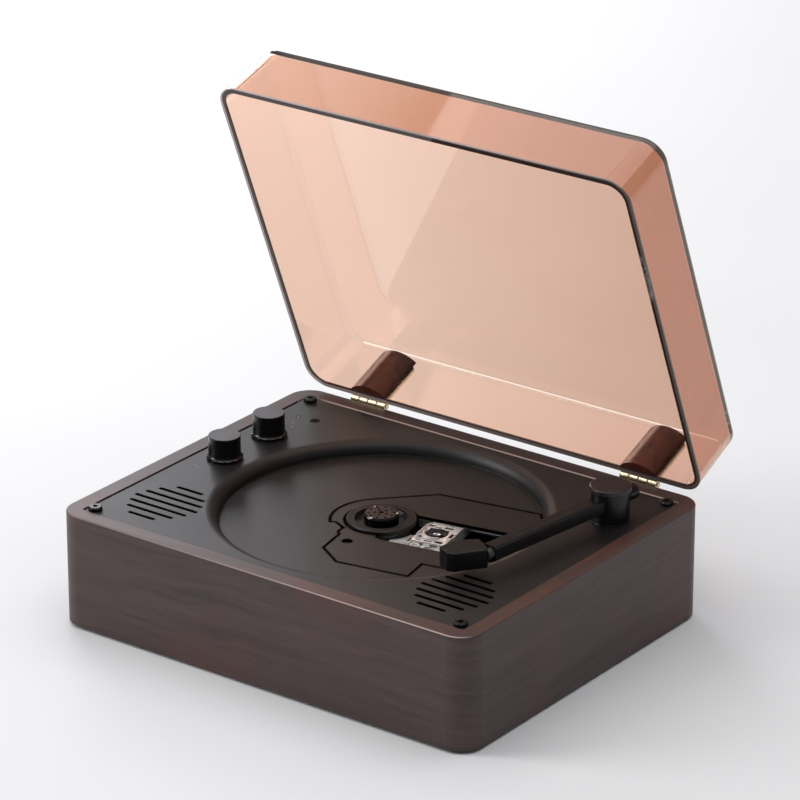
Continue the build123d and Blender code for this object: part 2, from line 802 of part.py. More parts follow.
def make_disc_hub():
    top = platter_top + hub_height
    seat = platter_top + hub_seat_height
    hub = turned([(0, pan_floor), (hub_radius, pan_floor), (hub_radius, seat), (hub_top_radius, top),
                  (0, top)])
    for below in hub_groove_levels:
        groove = rod(hub_radius + 1, platter_top - below - 0.15, platter_top - below + 0.15)
        hub -= groove - rod(hub_radius - hub_groove_depth, pan_floor, top)
    for count, circle in hub_holes:
        for n in range(count):
            hub -= Rot(0, 0, 360 * n / count) * rod(hub_hole_radius, top - 0.8, top, circle)
    hub -= rod(1.0, top - 1.2, top)
    for spot in ball_spots():
        hub -= spot * Sphere(chuck_ball_radius)
    return hub


def make_chuck_balls():
    return Compound(children=[spot * Sphere(chuck_ball_radius) for spot in ball_spots()])


def make_spindle_motor():
    top = platter_under - platter_motor_gap
    can = rod(spindle_motor_radius, chassis_top, top)
    can = fillet(can.faces().sort_by(Axis.Z)[-1].edges(), 0.8)
    can += rod(spindle_motor_hub_radius, chassis_under - 1.0, chassis_top)
    return can - rod(spindle_shaft_radius + running_clearance, chassis_under - 1.0, top)


# ---------------------------------------------------------------- pickup and feed
sled_start = lens_park - sled_before_lens
sled_stop = lens_park + sled_after_lens
travel_in = lens_park - lens_inner
travel_out = lens_outer - lens_park
sled_top = rod_z + 0.8
frame_top = lens_top - 0.3
frame_under = frame_top - 0.3
sled_under = sled_top - sled_thickness
rod_stop = sled_stop + travel_out + sled_end_gap + rod_holder
feed_x = lens_park + feed_gear_ahead
small_pitch = gear_module * feed_small_teeth / 2
large_pitch = motor_module * feed_large_teeth / 2
pinion_pitch = motor_module * pinion_teeth / 2
feed_y = -rack_pitch_line - small_pitch
pinion_x = feed_x + (large_pitch + pinion_pitch) * math.cos(math.radians(45))
pinion_y = feed_y - (large_pitch + pinion_pitch) * math.sin(math.radians(45))
large_under = chassis_top + 0.3
large_top = large_under + wheel_thickness
rack_under = sled_under
rack_top = rack_under + rack_height


def make_chassis():
    outline = outlined((-chassis_left, chassis_back), (chassis_right, chassis_back),
                       (chassis_right, -chassis_front + chassis_corner),
                       (chassis_right - chassis_corner, -chassis_front), (-chassis_left, -chassis_front))
    plate = slab(fillet(outline.vertices(), 3.0), chassis_under, chassis_top)
    plate -= rod(spindle_motor_hub_radius, chassis_under, chassis_top)
    window = block(lens_park - 10.5, lens_outer + 9.2, -13.5, 11.0, chassis_under, chassis_top)
    plate -= fillet(window.edges().filter_by(Axis.Z), 2.0)
    for x, y in damper_places:
        plate -= rod(damper_neck_radius, chassis_under, chassis_top, x, y)
    # blocks that hold the two guide rods
    for x0 in (rod_start, rod_stop - rod_holder):
        for y in (rod_back, -rod_front):
            holder = block(x0, x0 + rod_holder, y - 2.1, y + 2.1, chassis_top, rod_z + 1.6)
            plate += holder - rod_x(rod_radius, x0, x0 + rod_holder, y, rod_z)
    plate += rod(axle_radius, chassis_top, rack_top + 0.9, feed_x, feed_y)
    plate -= rod(pinion_pitch + 0.6, chassis_under, chassis_top, pinion_x, pinion_y)
    # upturned stiffening lip along the back
    plate += block(-chassis_left + 12, chassis_right - 20, chassis_back - 1.4, chassis_back,
                   chassis_top, chassis_top + 3)
    return in_mechanism * plate


def make_dampers():
    groove = rod(damper_radius, chassis_under, chassis_top) - rod(damper_neck_radius,
                                                                 chassis_under, chassis_top)
    damper = rod(damper_radius, chassis_under - damper_above, chassis_top + damper_above)
    damper -= groove
    damper -= rod(damper_bore_radius, chassis_under - damper_above, chassis_top + damper_above)
    return Compound(children=[spot * damper for spot in damper_spots()])


def make_damper_screws():
    start = chassis_under - damper_above
    screw = pan_screw(2.8, 1.2, leaf_screw_radius, well_under - start)
    return Compound(children=[spot * Pos(0, 0, start) * Rot(180, 0, 0) * screw for spot in damper_spots()])


def make_guide_rods():
    rods = [rod_x(rod_radius, rod_start, rod_stop, y, rod_z) for y in (rod_back, -rod_front)]
    return together(*rods, place=in_mechanism)


def make_pickup_sled():
    side = lens_park - 8.5
    outline = [
        (sled_start, -sled_front), (sled_stop, -sled_front), (sled_stop, sled_back), (sled_start, sled_back),
        (sled_start, rod_back - 2.4), (side, 9.5), (side, -9.5), (sled_start, -sled_front + 2.6),
    ]
    sled = slab(fillet(outlined(*outline).vertices(), 0.6), sled_under, sled_top)
    # raised guides for the rods
    for x0 in (sled_start, sled_stop - 6):
        sled += block(x0, x0 + 6, rod_back - 2.2, rod_back + 2.2, sled_under - 0.4, rod_z + 1.7)
        sled += block(x0, x0 + 6, -rod_front - 2.2, -rod_front + 2.2, sled_under - 0.2, rod_z + 1.7)
    # step and adjusting boss on the front shelf, and a window through it
    sled += block(lens_park - 2, sled_stop - 6, -rod_front - 2.0, -10.2, sled_top, rod_z + 1.5)
    boss = rod(2.3, sled_top, rod_z + 2.0) - rod(1.2, sled_top, rod_z + 2.0)
    sled += Pos(lens_park - 4.4, -12.6, 0) * boss
    sled -= block(lens_park + 0.2, lens_park + 4.2, -13.0, -11.2, sled_under, rod_z + 2)
    # optics housing below, through the chassis window, and the walls round the actuator above
    sled += block(lens_park - 7.5, sled_stop, -11.5, 9.0, sled_under - optics_depth, sled_under)
    sled += block(lens_park - 7.6, sled_stop, -10.2, 10.2, sled_top, frame_under)
    # room for the actuator, open at the top
    sled -= block(lens_park - 6.6, sled_stop - 0.9, -9.3, 9.3, sled_under, frame_under)
    # cut-outs in the walls
    for y in (-6.2, 0, 6.2):
        sled -= block(lens_park - 8, lens_park - 6.5, y - 1.7, y + 1.7, sled_top + 0.6, frame_under)
    for x in (lens_park - 3.2, lens_park + 3.2):
        for y in (-9.75, 9.75):
            sled -= block(x - 1.6, x + 1.6, y - 0.5, y + 0.5, sled_top + 0.5, frame_under - 0.5)
    # bite for the spindle motor, and a slanting front corner
    sled -= rod(spindle_motor_radius + 0.8, sled_under - optics_depth - 1, rod_z + 4, travel_in, 0)
    corner = outlined((sled_start - 1, -sled_front + 3.0), (side, -9.5), (sled_start - 1, -9.5))
    sled -= slab(corner, sled_under - 1, rod_z + 4)
    sled -= rod_x(rod_radius + running_clearance, sled_start - 1, sled_stop + 1, rod_back, rod_z)
    slot = rod_x(rod_radius + running_clearance, sled_start - 1, sled_stop + 1, -rod_front - 0.4, rod_z)
    slot += rod_x(rod_radius + running_clearance, sled_start - 1, sled_stop + 1, -rod_front + 0.4, rod_z)
    slot += block(sled_start - 1, sled_stop + 1, -rod_front - 0.4, -rod_front + 0.4,
                  rod_z - rod_radius - running_clearance, rod_z + rod_radius + running_clearance)
    sled -= slot
    # rack along the front
    pitch = math.pi * gear_module
    reach_in = travel_out + 3 * pitch
    reach_out = travel_in + 2 * pitch
    half = pitch / 4 - tooth_backlash / 2
    slope = math.tan(math.radians(20))
    root = -rack_pitch_line + 1.2 * gear_module
    tip = -rack_pitch_line - 0.8 * gear_module
    first = feed_x - pitch * math.floor(reach_in / pitch)
    count = math.floor((reach_in + reach_out) / pitch)
    # a gap of the rack, not a tooth, stands at the feed gear's axle
    teeth = [(first - pitch, -sled_front + 1), (first - pitch, root)]
    for n in range(count):
        middle = first + (n - 0.5) * pitch
        at_root = half + slope * (root + rack_pitch_line)
        at_tip = half + slope * (tip + rack_pitch_line)
        teeth += [(middle - at_root, root), (middle - at_tip, tip), (middle + at_tip, tip),
                  (middle + at_root, root)]
    teeth += [(first + count * pitch - pitch / 2, root), (first + count * pitch - pitch / 2, -sled_front + 1)]
    sled += slab(outlined(*teeth), rack_under, rack_top)
    return in_mechanism * sled


def make_actuator_yoke():
    low = sled_under
    yoke = block(lens_park - 6.4, lens_park + 6.2, -9.1, 9.1, low, low + 0.7)
    for side in (-1, 1):
        yoke += block(lens_park - 3.6, lens_park + 3.6, *sorted((side * 7.9, side * 9.1)), low, frame_under)
    return in_mechanism * yoke


def make_actuator_magnets():
    low = sled_under + 0.7
    high = frame_under - 0.4
    parts = [block(lens_park - 3.2, lens_park + 3.2, *sorted((side * 5.9, side * 7.9)), low, high)
             for side in (-1, 1)]
    return together(*parts, place=in_mechanism)


def make_lens_holder():
    low = sled_under + 1.3
    holder = block(lens_park - 4.2, lens_park + 3.4, -4.3, 4.3, low, frame_under - 0.5)
    holder = fillet(holder.edges().filter_by(Axis.Z), 1.4)
    holder += rod(lens_radius + 0.7, frame_under - 0.5, lens_top, lens_park, 0)
    holder -= rod(lens_radius, lens_top - 1.2, lens_top, lens_park, 0)
    holder -= rod(lens_radius - 0.7, low, lens_top, lens_park, 0)
    for side in (-1, 1):
        holder += block(lens_park - 2.0, lens_park, *sorted((side * 4.2, side * 5.3)),
                        low + 0.2, frame_under - 0.7)
    return in_mechanism * holder


def make_objective_lens():
    ball = 4.0
    low = lens_top - 1.2
    lens = rod(lens_radius, low, lens_top, lens_park, 0)
    lens &= Pos(lens_park, 0, lens_top - ball) * Sphere(ball)
    return in_mechanism * lens


def make_suspension():
    """Anchor block and the four fine wires that carry the lens holder."""
    start = lens_park
    stop = lens_park + 5.0
    anchor = block(stop, stop + 1.2, -5.8, 5.8, sled_under + 0.7, frame_under - 0.5)
    for side in (-1, 1):
        for level in (sled_under + 2.1, frame_under - 1.4):
            anchor += rod_x(0.18, start, stop + 0.2, side * 4.9, level)
    return in_mechanism * anchor


def make_actuator_cover():
    """Thin pressed frame on the actuator's walls, open above the lens and the wires."""
    frame = block(lens_park - 7.6, sled_stop, -10.2, 10.2, frame_under, frame_top)
    frame = chamfer(frame.edges().filter_by(Axis.Z), 1.2)
    frame -= block(lens_park - 5.2, lens_park + 4.4, -5.6, 5.6, frame_under, frame_top)
    for side in (-1, 1):
        frame -= block(lens_park - 2.6, lens_park + 2.6, *sorted((side * 5, side * 7.4)),
                       frame_under, frame_top)
        frame -= rod(0.6, frame_under, frame_top, lens_park - 6.4, side * 8.6)
    frame -= rod(spindle_motor_radius + 0.8, frame_under, frame_top, travel_in, 0)
    return in_mechanism * frame


def make_feed_gear():
    # a tooth of the small wheel points at the rack, into the gap that faces it
    small = slab(gear_outline(gear_module, feed_small_teeth, 90), large_top, rack_top + 0.4)
    # a tooth of the large wheel points at the motor pinion
    large = slab(gear_outline(motor_module, feed_large_teeth, -45), large_under, large_top)
    for n in range(5):
        large -= Rot(0, 0, 72 * n) * rod(1.25, large_under, large_top, 5.4, 0)
    wheel = small + large - rod(axle_radius + running_clearance, large_under, rack_top + 0.4)
    return in_mechanism * Pos(feed_x, feed_y, 0) * wheel


def make_feed_motor():
    top = chassis_under
    can = rod(feed_motor_radius, top - feed_motor_length, top)
    can = fillet(can.faces().sort_by(Axis.Z)[0].edges(), 0.8)
    can -= rod(feed_shaft_radius + running_clearance, top - feed_motor_length + 1, top)
    return in_mechanism * Pos(pinion_x, pinion_y, 0) * can


def make_feed_pinion():
    gap_phase = 135 + 180 / pinion_teeth
    wheel = slab(gear_outline(motor_module, pinion_teeth, gap_phase), large_under, large_top)
    wheel += rod(feed_shaft_radius, chassis_under - feed_motor_length + 1.5, large_under)
    return in_mechanism * Pos(pinion_x, pinion_y, 0) * wheel


# ---------------------------------------------------------------- boards and sockets
def make_main_board():
    half_width = main_board_width / 2
    half_depth = main_board_depth / 2
    board = block(-half_width, half_width, main_board_y - half_depth, main_board_y + half_depth,
                  main_board_under, main_board_top)
    for x, y in main_board_screw_places():
        board -= rod(screw_radius, main_board_under, main_board_top, x, y)
    return board


def make_board_components():
    """Smoothing capacitors, chips and plug headers, each standing on the main board."""
    z = main_board_top
    parts = [rod(4.0, z, z + 11, -44 + 10 * n, main_board_y + 20) for n in range(3)]
    parts += [block(-8, 6, main_board_y - 8, main_board_y + 6, z, z + 1.4)]
    parts += [block(18, 28, main_board_y - 4, main_board_y + 3, z, z + 1.4)]
    parts += [block(-34, -22, main_board_y - 12, main_board_y - 4, z, z + 2.2)]
    for n in range(2):
        parts += [block(10 + 14 * n, 20 + 14 * n, main_board_y - 28, main_board_y - 22, z, z + 6)]
    parts += [block(14, 40, main_board_y + 20, main_board_y + 25, z, z + 5)]
    return together(*parts)


def port_places():
    """X of the rocker switch, the line socket and the power inlet, seen from behind."""
    return port_x + jack_spacing, port_x, port_x - jack_spacing


def make_port_plate():
    rocker_x, line_x, inlet_x = port_places()
    inner = back_face - port_plate_thickness
    width = port_opening_width + 2 * port_plate_border
    height = port_opening_height + 2 * port_plate_border
    plate = block(port_x - width / 2, port_x + width / 2, inner, back_face,
                  port_z - height / 2, port_z + height / 2)
    plate = fillet(plate.edges().filter_by(Axis.Y), 1.0)
    plate -= block(rocker_x - rocker_width / 2 - 1, rocker_x + rocker_width / 2 + 1, inner, back_face,
                   port_z - rocker_height / 2 - 1, port_z + rocker_height / 2 + 1)
    plate -= rod_y(line_jack_radius + 1.2, inner, back_face, line_x, port_z)
    plate -= rod_y(inlet_radius + 1.2, inner, back_face, inlet_x, port_z)
    for x in port_screw_places():
        plate -= rod_y(leaf_screw_radius, inner, back_face, x, port_z)
    return plate


def make_line_jack():
    line_x = port_places()[1]
    inner = back_face - port_plate_thickness
    body = block(line_x - 4, line_x + 4, inner - 12, inner, port_z - 5, port_z + 4)
    body += rod_y(line_jack_radius + 1.2, inner, back_face, line_x, port_z)
    return body - rod_y(line_jack_radius, back_face - line_jack_depth, back_face, line_x, port_z)


def make_power_inlet():
    inlet_x = port_places()[2]
    inner = back_face - port_plate_thickness
    depth = 9.0
    body = block(inlet_x - 4.5, inlet_x + 4.5, inner - 12, inner, port_z - 5, port_z + 5)
    body += rod_y(inlet_radius + 1.2, inner, back_face, inlet_x, port_z)
    body -= rod_y(inlet_radius, back_face - depth, back_face, inlet_x, port_z)
    return body + rod_y(inlet_pin_radius, back_face - depth, back_face - 1.5, inlet_x, port_z)


def make_switch_body():
    rocker_x = port_places()[0]
    inner = back_face - port_plate_thickness
    half_width = rocker_width / 2
    half_height = rocker_height / 2
    body = block(rocker_x - half_width - 1, rocker_x + half_width + 1, inner - 11, back_face,
                 port_z - half_height - 1, port_z + half_height + 1)
    body -= block(rocker_x - half_width, rocker_x + half_width, inner - 5, back_face,
                  port_z - half_height, port_z + half_height)
    for side in (-1, 1):
        body += rod_y(0.6, inner - 16, inner - 11, rocker_x + side * 4, port_z)
    return body


def make_rocker():
    """Rocker paddle, stored tipped to its off side; it turns about Z through its middle."""
    rocker_x = port_places()[0]
    half_width = rocker_width / 2 - 0.45
    half_height = rocker_height / 2 - 0.25
    pivot_y = back_face - 2.2
    sag = 0.9
    outline = outlined((-half_width, -1.5), (half_width, -1.5), (half_width, 2.0), (0, 2.0 - sag),
                       (-half_width, 2.0))
    paddle = extrude(Pos(0, 0, -half_height) * outline, 2 * half_height)
    return Pos(rocker_x, pivot_y, port_z) * Rot(0, 0, rocker_tilt) * paddle


# ---------------------------------------------------------------- tonearm
def make_arm_base():
    """Fixed collar on the deck, with the pin that the column turns on."""
    base = rod(arm_base_radius, deck_top, deck_top + arm_base_height)
    base = fillet(base.faces().sort_by(Axis.Z)[-1].edges(), 0.3)
    base += rod(arm_pin_radius, deck_under, arm_z)
    base += rod(arm_pin_radius + 2.5, deck_under - 1.6, deck_under)
    return Pos(arm_x, arm_y, 0) * base


def make_arm_column():
    low = deck_top + arm_base_height + arm_column_gap
    column = rod(arm_column_radius, low, arm_cap_under)
    column -= rod(arm_pin_radius + running_clearance, low, arm_z + 0.3)
    return in_arm * column


def make_arm_cap():
    cap = rod(arm_cap_radius, arm_cap_under, arm_cap_top)
    cap = fillet(cap.faces().sort_by(Axis.Z)[-1].edges(), 0.7)
    cap = chamfer(cap.faces().sort_by(Axis.Z)[0].edges(), 0.5)
    return in_arm * cap


def make_arm_tube():
    """Bevelled bar from the column to the collar behind the headshell, tail included."""
    section = Pos(0, arm_z) * Rectangle(arm_width, arm_depth)
    section = chamfer(section.vertices(), arm_chamfer)
    tube = extrude(Plane.XZ * section, arm_length)
    tail = extrude(Plane.XZ * (Pos(0, arm_z) * Circle(arm_tail_radius)), -(counterweight_back - 1.5))
    column = rod(arm_column_radius, arm_z - arm_depth, arm_z + arm_depth)
    return in_arm * (tube + tail - column)


def make_counterweight():
    near = counterweight_back - counterweight_length
    weight = rod_y(counterweight_radius, near, counterweight_back, 0, arm_z)
    weight = fillet(weight.faces().sort_by(Axis.Y)[-1].edges(), 1.4)
    weight = chamfer(weight.faces().sort_by(Axis.Y)[0].edges(), 0.4)
    weight -= rod_y(arm_tail_radius, near, counterweight_back - 1.5, 0, arm_z)
    return in_arm * weight


def headshell_outline():
    """Blunt block, its left front corner cut well back and its right rear corner drawn to the tube."""
    nose = -headshell_length / 2
    tail = headshell_length / 2
    half_width = headshell_width / 2
    return outlined((-0.12 * headshell_width, nose + 0.1), (0.11 * headshell_width, nose + 0.7),
                    (0.37 * headshell_width, nose + 1.8), (half_width, nose + 4.6),
                    (0.40 * headshell_width, tail - 0.6), (0.32 * headshell_width, tail),
                    (0.08 * headshell_width, tail), (-0.44 * headshell_width, tail - 1.5),
                    (-half_width, -0.8))


def make_headshell():
    shell = slab(headshell_outline(), arm_top - headshell_height, arm_top)
    shell = fillet(shell.edges().filter_by(Axis.Z), 1.0)
    shell = fillet(shell.faces().sort_by(Axis.Z)[-1].edges(), 0.5)
    return in_headshell * shell


def make_arm_collar():
    """Light sleeve between the tube's end and the headshell, trimmed to the headshell's back."""
    start = -arm_length - collar_length
    collar = rod_y(collar_radius, start, -arm_length, 0.6, arm_z)
    solid_shell = in_headshell * slab(headshell_outline(), arm_top - headshell_height, arm_top)
    return in_arm * collar - solid_shell


# ---------------------------------------------------------------- lid and hinges
def lid_envelope(inset, low, high):
    """Tapered lid form, shut, with its back wall upright; inset shrinks it on every side."""
    back = back_face - inset
    sketches = []
    for level, lean in ((low, 0.0), (high, lid_draft * (high - low) / lid_height)):
        width = lid_width - 2 * inset - 2 * lean
        depth = lid_depth - 2 * inset - lean
        radius = lid_corner_radius - inset
        sketches.append(Pos(0, back - depth / 2, level) * RectangleRounded(width, depth, radius))
    return loft(sketches)


def make_lid_shell():
    low = hinge_z
    high = hinge_z + lid_height
    outer = lid_envelope(0, low, high)
    outer = fillet(outer.faces().sort_by(Axis.Z)[-1].edges(), lid_edge_radius)
    inner = lid_envelope(lid_wall, low, high - lid_wall)
    inner = fillet(inner.faces().sort_by(Axis.Z)[-1].edges(), 0.6)
    shell = outer - inner
    for x, z in lid_leaf_screw_places():
        shell -= rod_y(leaf_screw_radius, back_face - lid_wall - 1, back_face + 1, x, z)
    return in_lid * shell


def make_hinge_blocks():
    """Dark half-round blocks inside the lid's back wall; the lid leaves screw into them."""
    wall_face = back_face - lid_wall
    half = hinge_block_width / 2
    radius = (half ** 2 + hinge_block_depth ** 2) / (2 * hinge_block_depth)
    blocks = []
    for side in (-1, 1):
        low = hinge_z + 0.4
        high = low + hinge_block_height
        piece = rod(radius, low, high, side * hinge_x, wall_face + radius - hinge_block_depth)
        piece &= block(side * hinge_x - half, side * hinge_x + half, wall_face - hinge_block_depth,
                       wall_face, low, high)
        for x, z in lid_leaf_screw_places():
            piece -= rod_y(leaf_screw_radius, wall_face - lid_screw_bite, wall_face, x, z)
        blocks.append(piece)
    return together(*blocks, place=in_lid)


def knuckle_spans(parity):
    """Start and end along X, from the hinge's middle, of every second knuckle."""
    pitch = hinge_length / hinge_knuckles
    spans = []
    for n in range(parity, hinge_knuckles, 2):
        start = -hinge_length / 2 + n * pitch
        spans.append((start + knuckle_gap / 2, start + pitch - knuckle_gap / 2))
    return spans


def make_leaf(x, parity, direction, height, bore, screw_places):
    """One hinge leaf: a plate on the back face and its knuckles, up (1) or down (-1)."""
    half = hinge_length / 2
    outside = back_face + leaf_thickness
    edge = hinge_z + direction * 0.5
    far = hinge_z + direction * height
    leaf = block(x - half, x + half, back_face, outside, *sorted((edge, far)))
    leaf = fillet(leaf.edges().filter_by(Axis.Y).group_by(Axis.Z)[-1 if direction > 0 else 0], 1.5)
    clear = hinge_barrel_radius + 0.25
    leaf -= rod_x(clear, x - half - 1, x + half + 1, hinge_y, hinge_z)
    for start, stop in knuckle_spans(parity):
        knuckle = rod_x(hinge_barrel_radius, x + start, x + stop, hinge_y, hinge_z)
        knuckle += block(x + start, x + stop, outside - 0.7, hinge_y,
                         *sorted((hinge_z, hinge_z + direction * hinge_barrel_radius)))
        knuckle += block(x + start, x + stop, back_face + 0.4, outside,
                         *sorted((edge, hinge_z + direction * 4)))
        leaf += knuckle
    leaf -= rod_x(bore, x - half - 1, x + half + 1, hinge_y, hinge_z)
    for sx, sz in screw_places:
        leaf -= rod_y(leaf_screw_radius, back_face - 1, outside + 1, sx, sz)
    return leaf


def make_cabinet_leaves():
    return Compound(children=[make_leaf(side * hinge_x, 0, -1, cabinet_leaf_height, hinge_pin_radius,
                                        cabinet_leaf_screw_places()) for side in (-1, 1)])


def make_lid_leaves():
    bore = hinge_pin_radius + running_clearance
    leaves = [make_leaf(side * hinge_x, 1, 1, lid_leaf_height, bore, lid_leaf_screw_places())
              for side in (-1, 1)]
    return together(*leaves, place=in_lid)


def make_hinge_pins():
    half = hinge_length / 2
    return Compound(children=[rod_x(hinge_pin_radius, side * hinge_x - half, side * hinge_x + half,
                                    hinge_y, hinge_z) for side in (-1, 1)])


def make_lid_leaf_screws():
    reach = leaf_thickness + lid_wall + lid_screw_bite
    screw = pan_screw(leaf_screw_head_radius, leaf_screw_head_height, leaf_screw_radius, reach)
    screws = [Pos(x, back_face + leaf_thickness, z) * Rot(-90, 0, 0) * screw
              for x, z in lid_leaf_screw_places()]
    return together(*screws, place=in_lid)


# ---------------------------------------------------------------- all nodes
nodes = {
    "cabinet_frame": make_cabinet_frame,
    "base_panel": make_base_panel,
    "rubber_feet": make_rubber_feet,
    "cabinet_screws": make_cabinet_screws,
    "deck": make_deck,
    "mechanism_cover": make_mechanism_cover,
    "deck_screws": make_deck_screws,
    "speaker_baskets": make_speaker_baskets,
    "speaker_magnets": make_speaker_magnets,
    "speaker_cones": make_speaker_cones,
    "speaker_screws": make_speaker_screws,
    "volume_knob": lambda: make_knob(volume_knob_y),
    "volume_shaft": lambda: make_control_shaft(volume_knob_y),
    "volume_control": lambda: make_control_body(volume_knob_y),
    "mode_knob": lambda: make_knob(mode_knob_y),
    "mode_shaft": lambda: make_control_shaft(mode_knob_y),
    "mode_encoder": lambda: make_control_body(mode_knob_y),
    "control_board": make_control_board,
    "status_led": make_status_led,
    "ir_window": make_ir_window,
    "board_screws": make_board_screws,
    "platter": make_platter,
    "platter_mat": make_platter_mat,
    "disc_hub": make_disc_hub,
    "chuck_balls": make_chuck_balls,
    "spindle_motor": make_spindle_motor,
    "chassis": make_chassis,
    "dampers": make_dampers,
    "damper_screws": make_damper_screws,
    "guide_rods": make_guide_rods,
    "pickup_sled": make_pickup_sled,
    "actuator_yoke": make_actuator_yoke,
    "actuator_magnets": make_actuator_magnets,
    "lens_holder": make_lens_holder,
    "objective_lens": make_objective_lens,
    "suspension": make_suspension,
    "actuator_cover": make_actuator_cover,
    "feed_gear": make_feed_gear,
    "feed_motor": make_feed_motor,
    "feed_pinion": make_feed_pinion,
    "main_board": make_main_board,
    "board_components": make_board_components,
    "port_plate": make_port_plate,
    "line_jack": make_line_jack,
    "power_inlet": make_power_inlet,
    "switch_body": make_switch_body,
    "power_rocker": make_rocker,
    "arm_base": make_arm_base,
    "arm_column": make_arm_column,
    "arm_cap": make_arm_cap,
    "arm_tube": make_arm_tube,
    "arm_collar": make_arm_collar,
    "counterweight": make_counterweight,
    "headshell": make_headshell,
    "lid_shell": make_lid_shell,
    "hinge_blocks": make_hinge_blocks,
    "lid_leaves": make_lid_leaves,
    "lid_leaf_screws": make_lid_leaf_screws,
    "cabinet_leaves": make_cabinet_leaves,
    "hinge_pins": make_hinge_pins,
}

if __name__ == "__main__":
    os.makedirs("parts", exist_ok=True)
    for name, make in nodes.items():
        piece = make()
        piece.label = name
        export_step(piece, f"parts/{name}.step")
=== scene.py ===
"""Looks for a desk-top disc player: dark walnut box, black deck, tinted lid."""
import json
import math
from collections import namedtuple

import bpy
from mathutils import Euler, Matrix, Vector


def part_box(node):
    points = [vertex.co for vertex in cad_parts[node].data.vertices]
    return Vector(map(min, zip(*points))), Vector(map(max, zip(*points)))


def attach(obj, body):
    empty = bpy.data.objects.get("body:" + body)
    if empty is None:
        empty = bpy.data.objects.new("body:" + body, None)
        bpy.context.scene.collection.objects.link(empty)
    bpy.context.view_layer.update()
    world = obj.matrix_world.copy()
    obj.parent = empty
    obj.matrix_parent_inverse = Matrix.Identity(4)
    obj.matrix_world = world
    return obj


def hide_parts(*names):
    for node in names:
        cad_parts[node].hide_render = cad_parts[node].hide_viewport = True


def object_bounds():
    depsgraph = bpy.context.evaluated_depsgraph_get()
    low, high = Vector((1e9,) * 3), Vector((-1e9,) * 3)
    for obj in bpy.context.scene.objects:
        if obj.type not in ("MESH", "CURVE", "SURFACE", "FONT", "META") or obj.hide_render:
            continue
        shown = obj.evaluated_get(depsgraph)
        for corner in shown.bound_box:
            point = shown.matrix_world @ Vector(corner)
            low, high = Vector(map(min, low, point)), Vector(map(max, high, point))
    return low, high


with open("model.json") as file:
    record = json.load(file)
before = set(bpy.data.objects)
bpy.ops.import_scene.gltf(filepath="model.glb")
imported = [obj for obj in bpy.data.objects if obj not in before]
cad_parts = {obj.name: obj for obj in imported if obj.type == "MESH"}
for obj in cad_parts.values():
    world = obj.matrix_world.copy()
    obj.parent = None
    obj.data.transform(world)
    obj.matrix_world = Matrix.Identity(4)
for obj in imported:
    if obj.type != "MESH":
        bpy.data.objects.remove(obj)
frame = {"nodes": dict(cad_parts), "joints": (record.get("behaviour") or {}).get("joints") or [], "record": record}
cad_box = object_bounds()
nodes = frame["nodes"]
joints = {joint["name"]: joint for joint in frame["joints"]}
MM = 0.001

# near black used for painted shade
SHADE_BLACK = (0.0006, 0.0005, 0.0005)
WHITE = (1.0, 1.0, 1.0)
NOTHING = (0.0, 0.0, 0.0)

# edges painted lighter as a painted highlight, or darker as painted shade: their colour, how far it reaches, how
# fast it comes in, the most of it
Edges = namedtuple("Edges", "colour reach strength share")


